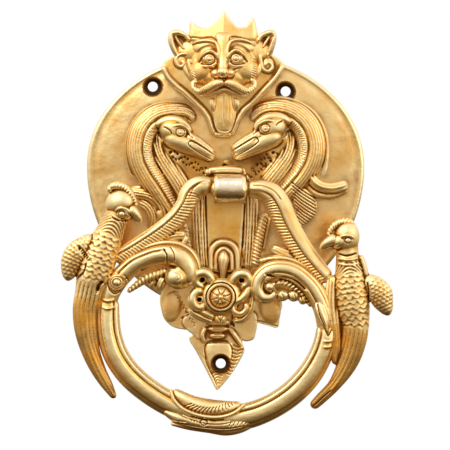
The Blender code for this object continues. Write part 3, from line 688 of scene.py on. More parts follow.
# lower lip, curls of the moustache and hollows of the ears
for line, width, depth in (
    ([(-14, 38.2), (-9.6, 39), (-4.4, 41), (-0.7, 42.6), (4, 40.6), (9, 38.6), (12.6, 39.4)], 1.0, -1.1),
    ([(-16.4, 44.6), (-16.8, 43.2), (-15.6, 42.6)], 0.9, -0.7),
    ([(14.6, 44.9), (14.8, 43.4), (13.6, 42.9)], 0.9, -0.7),
    ([(-28.6, 71), (-26.6, 67.2), (-23.8, 62.4)], 2.4, -0.7),
    ([(-25.4, 71), (-22.8, 68), (-20.6, 64.6)], 2.6, -0.5),
    ([(25.8, 70.4), (23.6, 66.4), (22, 62.4)], 2.2, -0.7),
    ([(22.6, 70.6), (20.4, 67.6), (18.8, 64)], 2.2, -0.5),
):
    chase(mask, line, width, depth)
# tufts at the foot of each ear, then locks beside the right cheek and the left
for step in range(6):
    chase(
        mask, [(-26.6 + step * 1.0, 60.4 - step * 0.4), (-25.4 + step * 1.0, 63.2 - step * 0.5)], 0.8, -0.4
    )
    chase(mask, [(18.4 + step * 0.9, 59.4 + step * 0.2), (18 + step * 0.9, 62 + step * 0.3)], 0.8, -0.4)
for step in range(9):
    z = 57.6 - step * 1.25
    chase(mask, [(14.8 - step * 0.1, z), (18 - step * 0.24, z - 1.0)], 0.85, -0.6)
for step in range(7):
    z = 56 - step * 1.5
    chase(mask, [(-19.6 + step * 0.35, z), (-17.2 + step * 0.3, z - 1.6)], 0.8, -0.4)
# grooves and rim of the tongue
for line, width, depth in (
    ([(-0.9, 38), (-1.0, 30), (-0.9, 22)], 1.0, -0.5),
    ([(-3.2, 37), (-3.6, 30), (-3.0, 24)], 0.8, -0.2),
    ([(1.6, 37), (1.8, 30), (1.4, 25)], 0.8, -0.2),
):
    chase(mask, line, width, depth)
tongue_edge = [
    (-5.0, 37), (-5.2, 33), (-5.9, 28), (-5.2, 22.6), (-3.8, 19.6), (-1, 18.6), (2.2, 19.4), (3.8, 23.6),
    (4.8, 28.6), (3.6, 33), (3.2, 37),
]
chase(mask, tongue_edge, 0.9, -0.35)
seat(mask)
finish_brass(mask, "lion_mask_face", mask_brass, "backplate", ["lion_mask"], full=0.46)


# --------------------------------------------------------------------------------------------------
# Hinge strap.  A strip of half-hard brass bent over the hinge bar, with its legs running back into
# the plate.  The legs are bent out flat behind the plate.  It is cut from rolled strip, so it is paler
# and smoother than the rest.

HINGE_Z = -12.4
HINGE_DEPTH = 19.0
STRAP_EDGES = (-6.2, 11.0)
STRAP_BEND = 7.1
STRIP_THICK = 1.7


def bent_strip(path, low, high, thick):
    """A strip of metal from x = low to high, bent along a path of (z, depth)."""
    line = follow([(z, depth, 0) for z, depth in path], 0.35)[0][:, :2]
    heading = np.gradient(line, axis=0)
    out = np.column_stack([-heading[:, 1], heading[:, 0]])
    out /= np.linalg.norm(out, axis=1, keepdims=True)
    mid, half, ease = (low + high) / 2, (high - low) / 2, thick * 0.42
    turn = np.linspace(0, 2 * np.pi, 65)
    wide = np.sign(np.cos(turn)) * (half - ease + ease * np.minimum(np.abs(np.cos(turn)) * 4, 1))
    wide = np.where(np.abs(np.cos(turn)) < 0.25, np.cos(turn) * 4 * (half - ease), wide)
    tall = thick / 2 * np.clip(np.sin(turn) * 1.25, -1, 1)
    shut = np.ones(len(line))
    shut[0] = shut[-1] = 0
    x = mid + (wide * (0.02 + 0.98 * shut[:, None]))
    z = line[:, :1] + out[:, :1] * tall * shut[:, None]
    depth = line[:, 1:] + out[:, 1:] * tall * shut[:, None]
    x[0] = x[-1] = mid
    return wrap("strip", np.dstack([x, z, depth]))


strap_path = [
    (HINGE_Z + STRAP_BEND + 6.4, 1.4), (HINGE_Z + STRAP_BEND + 2.4, 1.6), (HINGE_Z + STRAP_BEND, 4),
    (HINGE_Z + STRAP_BEND, 12), (HINGE_Z + STRAP_BEND, 18),
]
for angle in np.linspace(15, 165, 11):
    a = math.radians(angle)
    strap_path.append((HINGE_Z + STRAP_BEND * math.cos(a), HINGE_DEPTH + STRAP_BEND * math.sin(a)))
strap_path += [
    (HINGE_Z - STRAP_BEND, 18), (HINGE_Z - STRAP_BEND, 12), (HINGE_Z - STRAP_BEND, 4),
    (HINGE_Z - STRAP_BEND - 2.4, 1.6), (HINGE_Z - STRAP_BEND - 6.4, 1.4),
]
strap = bent_strip(strap_path, *STRAP_EDGES, STRIP_THICK)
strip_brass = polished_cast_brass("rolled_brass_strip", "FFF2DC", "F8E8CC", "6E5424", 0.18, 0.008)
finish_brass(
    strap, "hinge_strap_strip", strip_brass, "backplate", ["hinge_strap"], full=2.0
)


# --------------------------------------------------------------------------------------------------
# Breast panel.  The ground between the swans' breasts: a smooth tapering board with combed feathers on
# each side, an arched niche with a drop below, and a ledge above the strap.  Cast with the plate.


def combed(spacing, height, skew=0.0):
    """Relief for a bar whose face is combed into strands, spacing apart, that run along it."""

    def relief(along, across):
        return height * np.cos((across + skew * along) * 2 * np.pi / spacing)

    return relief


def roped(spacing, height):
    """Relief for a bar notched across like a rope, with notches spacing apart."""

    def relief(along, across):
        return height * np.cos((along + 0.35 * across) * 2 * np.pi / spacing)

    return relief


PANEL = [
    (-9, -2), (8, -2), (14, -9), (17.4, -22), (16, -40), (13, -56), (8, -62), (-8, -63), (-13.5, -56),
    (-17, -40), (-18.4, -22), (-15, -9),
]
panel_parts = [
    sheet(rounded(PANEL), 4.4, 8.2),
    sheet(
        rounded([
            (-10, -1), (9.8, -1), (9.6, -22), (8.6, -44), (7.6, -56), (-8.6, -56), (-9.6, -44), (-10, -22),
        ]),
        7, 10.0,
    ),
    bar([
        (-12.6, -8, 7.4, 3.4, 2.6), (-14, -22, 7.6, 4.4, 3.2), (-13.4, -40, 7.6, 4.4, 3.2),
        (-12, -56, 7.2, 3.6, 2.6),
    ], combed(1.45, 0.3, 0.04)),
    bar([
        (12.2, -8, 7.4, 3.2, 2.6), (13.6, -22, 7.6, 4.2, 3.2), (13, -40, 7.6, 4.0, 3.2),
        (12, -56, 7.2, 3.4, 2.6),
    ], combed(1.45, 0.3, -0.04)),
    bar([
        (-8, -57, 9.5, 1.5, 1.4), (-8, -47, 9.7, 1.5, 1.4), (-5.4, -42.6, 9.7, 1.5, 1.4),
        (-1, -41, 9.7, 1.5, 1.4), (3.6, -42.6, 9.7, 1.5, 1.4), (6.2, -47, 9.7, 1.5, 1.4),
        (6.8, -57, 9.5, 1.5, 1.4),
    ]),
    bar([
        (-5.4, -57, 9.6, 1.2, 1.4), (-5, -48.6, 9.8, 1.2, 1.4), (-3.4, -45.8, 9.8, 1.2, 1.4),
        (-1, -44.6, 9.8, 1.2, 1.4), (1.4, -45.8, 9.8, 1.2, 1.4), (3.2, -48.6, 9.8, 1.2, 1.4),
        (3.6, -57, 9.6, 1.2, 1.4),
    ]),
    bar([
        (-1, -45.6, 10, 1.4, 2), (-1.1, -50, 10.6, 3.0, 3.0), (-1.3, -55, 10.4, 2.2, 2.6),
        (-1.6, -62, 9.6, 1.0, 1.8),
    ]),
    bar([
        (-10.4, -2.6, 10.2, 1.9, 2.2), (-4, -2, 10.6, 1.9, 2.4), (3, -1.9, 10.6, 1.9, 2.4),
        (9.6, -2.4, 10.2, 1.8, 2.2),
    ]),
    lump(-9.6, -3.2, 11.2, (1.9, 1.9, 1.9)),
]
panel = cast("breast_panel_feathers", panel_parts)
# grooves along the edges of the board, and strands beside it
for x, foot_x in ((-10.6, -9.2), (10.4, 8.2)):
    chase(panel, [(x, -6), (x, -22), (foot_x + math.copysign(0.6, x), -44), (foot_x, -56)], 1.3, -0.5)
for k in range(4):
    for sign, at in ((-1, -11.6), (1, 11)):
        x = at + sign * 1.6 * k
        strand = [(x, -5), (x + sign * 0.4, -20), (x, -38), (x - sign * (0.8 + 0.3 * k), -56)]
        chase(panel, strand, 0.9, -0.55)
# head of the drop, and faint ticks along the ledge
chase(panel, [(-2.8, -46.8), (-1, -45.2), (0.8, -46.8)], 0.8, -0.5)
for k in range(7):
    z = -1.0 - 0.5 * k
    chase(panel, [(-8 + k * 2.6, z), (-6.2 + k * 2.4, z - 0.3)], 0.7, -0.15)
seat(panel)
finish_brass(panel, "breast_panel_feathers", cast_brass, "backplate", ["breast_panel"])


# --------------------------------------------------------------------------------------------------
# Swans.  Two swans with long combed necks lay their beaks together under the mask, in high relief on the
# plate.  Each neck is a sheaf of strands beside a notched spine.  Cast with the plate, then chased by
# hand.


def neck_relief(spine, half_spine):
    """Combed strands on both sides of a notched spine, whose middle is spine across the neck."""

    def relief(along, across):
        strands = 0.3 * np.cos((across - spine) * 2 * np.pi / 1.4)
        inside = np.clip((half_spine - np.abs(across - spine)) / 0.5 + 0.5, 0, 1)
        notches = 0.85 + 0.42 * np.cos((along + 0.25 * across) * 2 * np.pi / 1.5)
        edge = -0.7 * np.exp(-(((np.abs(across - spine) - half_spine - 0.35) / 0.4) ** 2))
        return strands * (1 - inside) + notches * inside + edge

    return relief


def eye_rings(piece, x, z, radii):
    """Rings cut round an eye, each given as (radius, width, depth)."""
    for radius, width, cut in radii:
        ring = [
            (x + radius * math.cos(a), z + radius * 0.9 * math.sin(a))
            for a in np.linspace(0, 2 * np.pi, 13)
        ]
        chase(piece, ring, width, cut)


# left swan
left_swan_parts = [
    bar(
        [
            (-16, 24, 5.2, 2.4, 2.4), (-21.5, 28.2, 6.0, 4.4, 3.4), (-30, 28.6, 6.4, 5.6, 4.2),
            (-38, 26, 6.6, 6.6, 4.8), (-44, 19.6, 6.8, 7.2, 5.2), (-46.3, 11, 6.8, 7.2, 5.4),
            (-45.4, 3, 6.8, 7.0, 5.4), (-42.2, -4, 6.8, 6.8, 5.4), (-37.6, -11, 6.8, 6.4, 5.2),
            (-33.4, -17.6, 6.6, 5.6, 4.8), (-29.4, -24, 6.4, 4.4, 4.2), (-26, -30, 6, 3.2, 3.4),
        ],
        neck_relief(-4.0, 2.2), around=88,
    ),
    bar([
        (-14, 27.4, 3.6, 2.6, 1.8), (-22, 32, 3.8, 3.2, 2.2), (-34, 32, 3.8, 3.4, 2.4),
        (-44, 27.4, 3.8, 3.4, 2.4), (-50.4, 18, 3.8, 3.2, 2.4), (-52, 8, 3.6, 3.0, 2.2),
        (-51, -3, 3.4, 2.6, 2), (-48.4, -11, 3.2, 2.0, 1.6),
    ], around=24),
    bar(
        [
            (-36.6, 19, 5.2, 1.8, 2.2), (-37.2, 13, 5.6, 2.6, 3.0), (-35.2, 6, 6.0, 3.8, 3.6),
            (-31, -1, 6.4, 5.2, 4.0), (-26.4, -8, 6.6, 6.0, 4.2), (-22.4, -15, 6.4, 5.6, 4.0),
            (-19.6, -21, 6, 4.4, 3.4),
        ],
        combed(1.6, 0.42), around=56,
    ),
    sheet(
        rounded([
            (-36, 16), (-30, 12), (-20, 8), (-6, 4), (2, 2), (3, -3), (-6, -6), (-20, -12), (-28, -9),
            (-35, 2),
        ], 1.4),
        3.8, 8.2,
    ),
    bar([
        (-52.4, -13.4, 4.8, 2.2, 2.2), (-47, -14.2, 5.6, 3.6, 3.0), (-41, -15.6, 6.2, 4.2, 3.6),
        (-36, -19.4, 6.4, 4.2, 3.8), (-33, -25, 6.4, 3.6, 3.6), (-32.4, -31, 6, 2.4, 2.8),
    ], combed(1.5, 0.4), around=40),
    bar([
        (-46.8, -18, 4.6, 2.6, 2.4), (-42, -20.6, 5.4, 3.8, 3.2), (-39, -25, 5.8, 4.2, 3.4),
        (-38.2, -30, 5.6, 3.6, 3.2), (-39.6, -35, 5, 2.2, 2.4),
    ], combed(1.5, 0.45), around=40),
    bar([
        (-34.6, -22.6, 7.6, 1.4, 1.6), (-35.6, -26, 8.0, 1.8, 2), (-34.4, -29.4, 7.6, 1.4, 1.6),
    ], combed(1.1, 0.3), around=24),
    bar([
        (-21.6, -31, 8.4, 1.2, 1.8), (-20.6, -38, 8.6, 1.3, 1.8), (-19, -46, 8.4, 1.2, 1.8),
        (-18.2, -55, 8, 1.0, 1.6),
    ], roped(2.0, 0.55), around=24),
    # head, with its jaw, beak, crest, eye and lids
    lump(-26.6, 19.0, 10.4, (10.0, 7.6, 5.8), -26),
    bar([
        (-33.4, 17, 10.2, 3.8, 4.4), (-28, 14.6, 11, 5.2, 5.2), (-21, 11.9, 11.4, 5.2, 5.2),
        (-14, 8.8, 11.4, 4.4, 4.6), (-8.4, 5.9, 11, 3.5, 3.8), (-5.2, 4.5, 10.6, 2.7, 3),
    ], around=32),
    bar([
        (-22, 16.8, 11.4, 3.8, 4.8), (-16, 13.2, 11.8, 3.5, 4.4), (-10.4, 9.4, 11.4, 2.9, 3.8),
        (-5.8, 6.4, 10.8, 2.1, 3),
    ], around=32),
    bar([
        (-38, 21.4, 10.4, 1.8, 2.4), (-34, 23.6, 11, 2.6, 2.8), (-29.4, 24.4, 11.8, 3.0, 3),
        (-24.8, 23.6, 12.4, 3.0, 3), (-21.2, 21, 12.8, 2.6, 2.8), (-18.8, 17.4, 12.8, 1.8, 2.2),
    ], around=24),
    lump(-24.4, 18, 14.2, (3.7, 3.4, 2.7)),
    bar([
        (-32, 20.2, 13, 0.6, 1), (-28.4, 21.4, 14.8, 0.8, 1.2), (-24.4, 22.0, 15.4, 0.9, 1.3),
        (-20.8, 20.2, 15.2, 0.8, 1.2), (-18.4, 15.8, 14.2, 0.6, 1),
    ], around=14),
    bar([
        (-31.4, 19.4, 13.2, 0.6, 1), (-28, 15.6, 14.4, 0.8, 1.1), (-24, 14.2, 14.8, 0.8, 1.1),
        (-19.4, 14.8, 14.6, 0.6, 1),
    ], around=14),
    bar([
        (-18.4, 11.8, 15.0, 1.5, 1.3), (-14.6, 9.8, 15.0, 1.5, 1.4), (-10.6, 7.4, 14.4, 1.4, 1.3),
        (-7.4, 5.4, 13.6, 1.2, 1.2),
    ], around=16),
]
left_swan = cast("left_swan_relief", left_swan_parts, grain=0.38)
eye_rings(left_swan, -24.4, 18, ((2.4, 0.9, -0.6), (1.1, 0.9, -0.4)))
# corners of the eye, cheek, and the slot along the beak
for line, width, depth in (
    ([(-33.4, 21), (-31.4, 20), (-29.6, 18.6), (-29, 17)], 1.2, -0.7),
    ([(-21, 17.4), (-19.4, 16.4), (-17.4, 14.6)], 1.0, -0.6),
    ([(-16.6, 14.8), (-11, 11), (-6, 7.4)], 0.8, -0.4),
    ([(-19.4, 13.2), (-20, 11.4), (-16.6, 8.6), (-11, 5.2), (-7.4, 3.4)], 0.9, -0.75),
    ([(-19.4, 13.2), (-17.6, 13.2), (-12, 9.9), (-6.0, 5.9)], 0.9, -0.75),
    ([(-17.4, 11.2), (-12.6, 8.4), (-8.2, 5.4)], 0.6, -0.3),
    ([(-32.4, 13.6), (-28, 10.9), (-21, 8.2), (-14, 4.6), (-9, 2.2)], 1.0, -0.35),
):
    chase(left_swan, line, width, depth)
# pits punched into the ground under the beak, and notches low on the neck
for k in range(30):
    x, z = -30 + 0.8 * k, 7.2 - 0.42 * k + 2.0 * math.sin(2.7 * k)
    chase(left_swan, [(x - 0.5, z + 0.5), (x, z), (x + 0.5, z - 0.5)], 1.5, -0.9)
for k in range(6):
    notch = [(-25.4 + 0.5 * k, -10.6 - 1.5 * k), (-23.0 + 0.5 * k, -11.6 - 1.5 * k)]
    chase(left_swan, notch, 0.9, -0.7, ticks=1.2)

# right swan
right_swan_parts = [
    bar(
        [
            (13.4, 24, 5.2, 2.4, 2.4), (19.6, 29.4, 6.0, 4.4, 3.4), (28, 30.6, 6.4, 5.6, 4.2),
            (36.6, 28, 6.6, 6.8, 4.8), (43.4, 21.4, 6.8, 7.6, 5.2), (46.4, 12.4, 6.8, 7.8, 5.4),
            (45.8, 4, 6.8, 7.2, 5.4), (42.4, -3.4, 6.8, 6.4, 5.4), (37.8, -9.4, 6.8, 5.6, 5.2),
            (33, -14.6, 6.6, 4.6, 4.6), (28.4, -19.4, 6.2, 3.4, 3.6),
        ],
        neck_relief(4.4, 2.2), around=88,
    ),
    bar([
        (9.6, 26, 3.6, 2.6, 1.8), (16, 32.4, 3.8, 3.2, 2.2), (26, 35, 3.8, 3.4, 2.4),
        (37, 33.2, 3.8, 3.4, 2.4), (46.4, 27.4, 3.8, 3.4, 2.4), (52, 18, 3.8, 3.2, 2.4),
        (53.6, 8, 3.6, 3.0, 2.2), (53.4, -1, 3.4, 2.6, 2), (52, -7, 3.2, 2.2, 1.8),
    ], around=24),
    bar(
        [
            (34.2, 20, 5.2, 1.8, 2.2), (35.4, 13, 5.6, 2.8, 3.0), (33.4, 6, 6.0, 4.4, 3.6),
            (29.4, 0, 6.4, 5.6, 4.0), (25, -5.6, 6.6, 5.6, 4.2), (20.6, -11, 6.2, 4.2, 3.6),
        ],
        combed(1.6, 0.42), around=56,
    ),
    sheet(
        rounded([
            (33, 17), (27, 12), (16, 8), (4, 4), (-3, 2), (-2, -3), (8, -6), (20, -12), (26, -7), (32, 4),
        ], 1.4),
        3.8, 8.2,
    ),
    # rope tail that lies out to the plate's edge, with a second strand under it
    bar([
        (44.6, 6, 6, 1.8, 2.6), (44.4, -1, 7, 2.4, 3.2), (46.6, -7, 7.4, 2.8, 3.4),
        (51, -10.8, 7.2, 3.0, 3.4), (57, -12, 6.6, 3.0, 3.2), (62.4, -11, 5.8, 2.9, 2.8),
        (66.2, -9.4, 4.8, 2.6, 2.2),
    ], combed(2.3, 0.25), around=32),
    bar([
        (42, -4, 6, 2, 2.6), (43.8, -10, 6.2, 2.2, 2.8), (48.4, -14.6, 5.8, 2.2, 2.8),
        (55, -16, 5.2, 2.2, 2.6), (61, -15, 4.6, 2.0, 2.2), (66, -12.6, 4.0, 1.6, 1.8),
    ], around=24),
    # fan of feathers under the rope
    bar([
        (37, -7, 6.2, 3.0, 3.0), (39.4, -13, 6.4, 5.0, 3.6), (42.4, -19, 6.0, 6.4, 3.6),
        (43.4, -24, 5.2, 6.0, 3.0), (40.6, -30, 4.4, 3.6, 2.4), (38.4, -34, 4, 1.6, 1.8),
    ], around=40),
    bar([
        (21.4, -25, 8.8, 2.2, 2.8), (18.8, -35, 9.2, 2.5, 3.0), (17, -45, 9.0, 2.5, 3.0),
        (16, -55, 8.4, 2.2, 2.6),
    ], roped(1.9, 0.5), around=28),
    bar([(23.4, -27, 6.6, 1.6, 2.2), (21.4, -36, 6.8, 1.6, 2.2), (20, -46, 6.6, 1.5, 2)], around=16),
    # head, with its jaw, beak, crest, eye and lids
    lump(23.8, 20.6, 10.4, (9.8, 7.8, 5.8), 24),
    bar([
        (30.4, 18.6, 10.2, 3.8, 4.4), (25.6, 15.6, 11, 5.2, 5.2), (19.4, 12.8, 11.4, 5.4, 5.2),
        (13, 9.8, 11.4, 4.9, 4.6), (7.2, 7, 11, 4.0, 3.8), (3.4, 5.6, 10.6, 3.1, 3),
    ], around=32),
    bar([
        (20, 18.2, 11.4, 3.8, 4.8), (14, 14.8, 11.8, 3.6, 4.4), (8, 11.4, 11.4, 3.1, 3.8),
        (3, 8.6, 10.8, 2.3, 3),
    ], around=32),
    bar([
        (35.4, 23, 10.4, 1.8, 2.4), (31.4, 25.4, 11, 2.6, 2.8), (26.8, 26.1, 11.8, 3.0, 3),
        (21.9, 25.4, 12.4, 3.0, 3), (18.2, 23, 12.8, 2.6, 2.8), (15.6, 19.2, 12.8, 1.8, 2.2),
    ], around=24),
    lump(21.5, 20.2, 14.2, (3.8, 3.5, 2.7)),
    bar([
        (29.4, 23.6, 13, 0.6, 1), (25.4, 24.2, 14.8, 0.8, 1.2), (21.4, 24.2, 15.4, 0.9, 1.3),
        (17.8, 22.2, 15.2, 0.8, 1.2), (15.4, 18, 14.2, 0.6, 1),
    ], around=14),
    bar([
        (28.8, 22.6, 13.2, 0.6, 1), (26, 18, 14.4, 0.8, 1.1), (21.6, 16.2, 14.8, 0.8, 1.1),
        (16.6, 17, 14.6, 0.6, 1),
    ], around=14),
    bar([
        (16, 13.4, 15.0, 1.6, 1.3), (12.2, 11.4, 15.0, 1.7, 1.4), (8, 9, 14.4, 1.6, 1.3),
        (4.4, 7, 13.6, 1.3, 1.2),
    ], around=16),
]
right_swan = cast("right_swan_relief", right_swan_parts, grain=0.38)
eye_rings(right_swan, 21.5, 20.2, ((2.5, 0.9, -0.6), (1.1, 0.9, -0.4)))
# corners of the eye, cheek, and the slot along the beak
for line, width, depth in (
    ([(30.6, 24.2), (28.6, 23.2), (27, 21.6)], 1.2, -0.7),
    ([(18.4, 19.6), (16.6, 18.4), (14.6, 16.6)], 1.0, -0.6),
    ([(14, 16.6), (8.4, 12.9), (2.8, 9.6)], 0.8, -0.4),
    ([(17.2, 14.8), (17.6, 12.8), (14, 9.9), (9, 7), (4.6, 4.8)], 0.9, -0.75),
    ([(17.2, 14.8), (15, 14.9), (9.4, 11.6), (3.4, 7.9)], 0.9, -0.75),
    ([(15, 12.8), (10.2, 10.1), (5.2, 7.1)], 0.6, -0.3),
    ([(30.4, 15), (25.4, 11.7), (19, 8.8), (12, 5.4), (6.4, 3.2)], 1.0, -0.35),
):
    chase(right_swan, line, width, depth)
# pits punched into the ground under the beak, and feathers of the fan
for k in range(34):
    x, z = 26.4 - 0.5 * k + 1.6 * math.cos(1.9 * k), 6.6 - 0.42 * k + 2.2 * math.sin(2.7 * k)
    chase(right_swan, [(x - 0.5, z + 0.5), (x, z), (x + 0.5, z - 0.5)], 1.5, -0.9)
for k in range(11):
    x, z = 35.4 + 0.35 * k, -8.5 - 2.1 * k
    chase(right_swan, [(x, z), (x + 5.5, z - 4.4), (x + 13, z - 9)], 0.95, -0.8, least=0.05)

for swan, name, node in (
    (left_swan, "left_swan_relief", "left_swan"), (right_swan, "right_swan_relief", "right_swan"),
):
    seat(swan)
    finish_brass(swan, name, cast_brass, "backplate", [node])


# --------------------------------------------------------------------------------------------------
# Tail leaf.  A pointed leaf under the plate, with side leaves and a ringed stalk; the lowest screw goes
# through it.  Cast with the plate in yellow brass, with a flat back that lies on the door.

SIDE_LEAVES = {
    "far_left": (
        [
            (-22, -61), (-29, -62), (-34, -67), (-35.6, -72), (-34.8, -78), (-33, -83), (-29.4, -86.6),
            (-25, -88.2), (-18, -88), (-14, -80), (-16, -68),
        ],
        4.4,
    ),
    "left": (
        [
            (-16, -78), (-21, -80), (-23.4, -84.6), (-21, -88.6), (-17, -91.6), (-14, -93.6), (-11.6, -88),
            (-10, -82),
        ],
        5.6,
    ),
    "far_right": (
        [
            (14, -66), (20, -61), (26, -65), (30.6, -73.6), (29.6, -80), (29, -85.6), (27.6, -87.6),
            (23, -86.4), (17, -84.4), (13, -80),
        ],
        4.2,
    ),
    "right": (
        [(4, -80), (14.8, -79), (17.2, -84), (16.4, -90), (14.8, -94), (9.4, -94.6), (5.6, -89)], 5.7,
    ),
    "leaf": (
        [
            (-12, -86), (-17, -91), (-19.8, -93.6), (-16, -100.4), (-12, -107.8), (-8, -115.6),
            (-5.4, -120.6), (-4.2, -121.2), (-0.4, -117.2), (5, -110), (10, -100.8), (9.4, -97), (6, -93),
            (3, -86),
        ],
        5.4,
    ),
}
tail_parts = [sheet([(-14, -64), (14, -64), (15, -84), (0, -100), (-8, -100), (-16, -86)], 0.3, 3.6)]
for outline, front in SIDE_LEAVES.values():
    tail_parts.append(sheet(rounded(outline, 0.9), 0.2, front))
tail_parts += [
    bar([
        (-3.6, -95, 5.4, 6.6, 1.5), (-3.4, -100, 5.6, 7.2, 1.7), (-3, -106, 5.6, 6.4, 1.7),
        (-3, -112.4, 5.2, 4.4, 1.5),
    ]),
    lump(24, -77, 3.8, (6, 9, 1.3), 10),
    lump(-29, -76, 4.0, (5.5, 9, 1.3), -10),
    lump(-3.8, -84.6, 6.0, (6.4, 1.9, 3.2)),
    lump(-4.0, -88.2, 6.0, (5.6, 1.7, 2.9)),
    lump(-4.4, -91.8, 5.8, (4.6, 1.7, 2.6)),
    bar([(-10.4, -87, 5.4, 1.1, 1.6), (-12.4, -91, 5.6, 1.2, 1.7), (-11.6, -95.6, 5.4, 1.0, 1.4)]),
    bar([
        (1.6, -87, 5.6, 1.1, 1.6), (4.6, -91, 5.8, 1.3, 1.8), (8.2, -96.4, 5.6, 1.1, 1.5),
        (9, -99.6, 5.2, 0.8, 1.2),
    ]),
]
tail = cast("tail_leaf_casting", tail_parts, grain=0.36, soften=2)
# arch over the screw hole, and the left edge of the pointed leaf
arch = [
    (-10.6, -105), (-11.4, -99), (-9.4, -95.4), (-5, -94.4), (0, -94.6), (3, -97.4), (3.8, -101), (3, -105.4),
]
chase(tail, arch, 1.0, -0.7)
chase(tail, [(-12, -103), (-8.6, -110.6), (-4.6, -117.6)], 0.8, -0.35)
# veins to the right of the screw hole, then at the tip, then on the far left leaf
for k in range(9):
    z = -95.5 - 1.9 * k
    reach = 9.2 - 0.78 * max(k - 2, 0)
    vein = [(4.0 - 0.45 * k, z - 1.6), ((4.0 + reach) / 2 - 0.2 * k, z - 2.6), (reach - 0.3 * k, z - 2.0)]
    chase(tail, vein, 0.95, -0.6)
for k in range(5):
    z = -112.6 - 1.5 * k
    chase(tail, [(-7.6 + 0.7 * k, z), (-4.4 + 0.1 * k, z + 1.2), (-1.4 - 0.4 * k, z + 0.4)], 0.85, -0.6)
    chase(tail, [(-8.8 + 0.8 * k, z + 1.4), (-6.6 + 0.5 * k, z - 0.6)], 0.85, -0.5)
for k in range(9):
    x, z = -27 + 1.1 * k, -69 - 1.9 * k
    chase(tail, [(x, z), (x + 1.6, z - 1.4), (x + 1.0, z - 3)], 1.0, -0.45, ticks=1.6)
chase(tail, [(-24, -82.6), (-18, -79.6), (-13.6, -80.6)], 1.2, -0.6)
chase(tail, [(16.4, -83.8), (20, -84.6), (25, -86.2), (28.4, -86.8)], 1.1, -0.5)
sink = [
    (0, -2), (SCREW_HOLE, -2), (SCREW_HOLE, 4.6), (SCREW_HEAD + 0.1, 6.8), (SCREW_HEAD + 0.7, 9.5),
    (0, 9.5),
]
cut_away(tail, turned("sink", -2.6, -107.0, sink))
seat(tail)
finish_brass(tail, "tail_leaf_casting", plate_brass, "backplate", ["tail_leaf"], full=0.36)


# --------------------------------------------------------------------------------------------------
# Patina and painted shade on the ground.  Polish never reaches the corners where the relief stands on the
# plate, the shield and the panel, so the brass there stays brown for a millimetre or two, and painted shade
# darkens it within about 9 mm before it warms gradually to the bright ground.  The low ground under the
# swans' beaks and the ground round the lowest screw are darkened as well.


def patina_and_shade_near_relief(piece, relief, near, far):
    """Browns a piece by those that stand on it, as patina and painted shade: near within 1.6 mm of them, and
    far within 9 mm.
    """
    raised = [read(other)[::9] for other in relief]
    crowd = KDTree(sum(len(spots) for spots in raised))
    for index, spot in enumerate(np.vstack(raised)):
        crowd.insert(spot, index)
    crowd.balance()
    away = np.array([crowd.find(spot)[2] for spot in read(piece)])
    brown = near * np.exp(-((away / 1.6) ** 2)) + far * np.exp(-((away / 9.0) ** 2))
    brown *= facing(piece)[:, 2] > 0
    stored = piece.data.attributes["hollow"]
    hollow = np.empty(len(away), np.float32)
    stored.data.foreach_get("value", hollow)
    stored.data.foreach_set("value", (hollow + brown).astype(np.float32))


patina_and_shade_near_relief(plate, [shield, left_swan, right_swan, panel, tail], 0.5, 0.4)
patina_and_shade_near_relief(panel, [left_swan, right_swan], 0.5, 0.25)
# darken the low ground under the swans' beaks
darken_round(left_swan, -12.0, 0.0, 13.0, 0.9, below=8.6)
darken_round(right_swan, 13.0, 0.0, 13.0, 0.9, below=8.6)
darken_round(right_swan, 19.0, -3.0, 8.0, 0.6, below=8.6)
darken_round(tail, -2.6, -107.0, SCREW_HEAD + 0.5, 6.0)


# --------------------------------------------------------------------------------------------------
# Yoke.  The hinge bar and the two arms that hang the ring from it, one casting with the ring, scrolls
# and birds.  Each arm has a smooth rail along its outer side and a ribbed band along its inner side, cut
# with a chisel.


def arm_relief(rail_side, edge, start):
    """A smooth rail beyond edge on one side (+1 is right of travel), and ribs inside it from start on."""

    def relief(along, across):
        side = across * rail_side
        band = np.clip((edge - 0.3 - side) / 0.4, 0, 1) * np.clip((along - start) / 2, 0, 1)
        ribs = -0.25 + 0.42 * np.cos((along - 0.45 * side) * 2 * np.pi / 1.75)
        rail = 0.45 * np.clip((side - edge) / 0.8, 0, 1)
        groove = -0.8 * np.exp(-(((side - edge) / 0.36) ** 2)) * np.clip((along - start + 6) / 4, 0, 1)
        return band * ribs + rail + groove

    return relief


LEFT_ARM = [
    (-6.6, -11.6, 19, 4.4, 4.2), (-10.6, -11, 19.2, 5.0, 4.4), (-15, -11.8, 19.4, 6.0, 4.4),
    (-18.8, -15.4, 19.6, 6.0, 4.2), (-21.4, -21, 19.8, 5.3, 4.2), (-25.8, -27.4, 19.8, 5.1, 4),
    (-33, -34, 19.6, 5.0, 4), (-42, -40.2, 19.4, 4.8, 4), (-51, -45.8, 19.2, 4.6, 4),
    (-60, -50.6, 19, 3.8, 3.6),
]
RIGHT_ARM = [
    (10.5, -12.8, 19, 4.0, 4), (15, -12.8, 19.2, 4.6, 4.2), (20, -13.4, 19.4, 5.6, 4.4),
    (25, -16.2, 19.6, 6.4, 4.4), (28.8, -21.8, 19.8, 6.6, 4.4), (31.6, -28.6, 19.8, 6.4, 4.2),
    (35.8, -36.8, 19.6, 6.2, 4.2), (41.4, -45.6, 19.4, 5.8, 4.2), (48, -54, 19.2, 5.2, 4),
    (55.5, -62, 19, 4.4, 3.6),
]
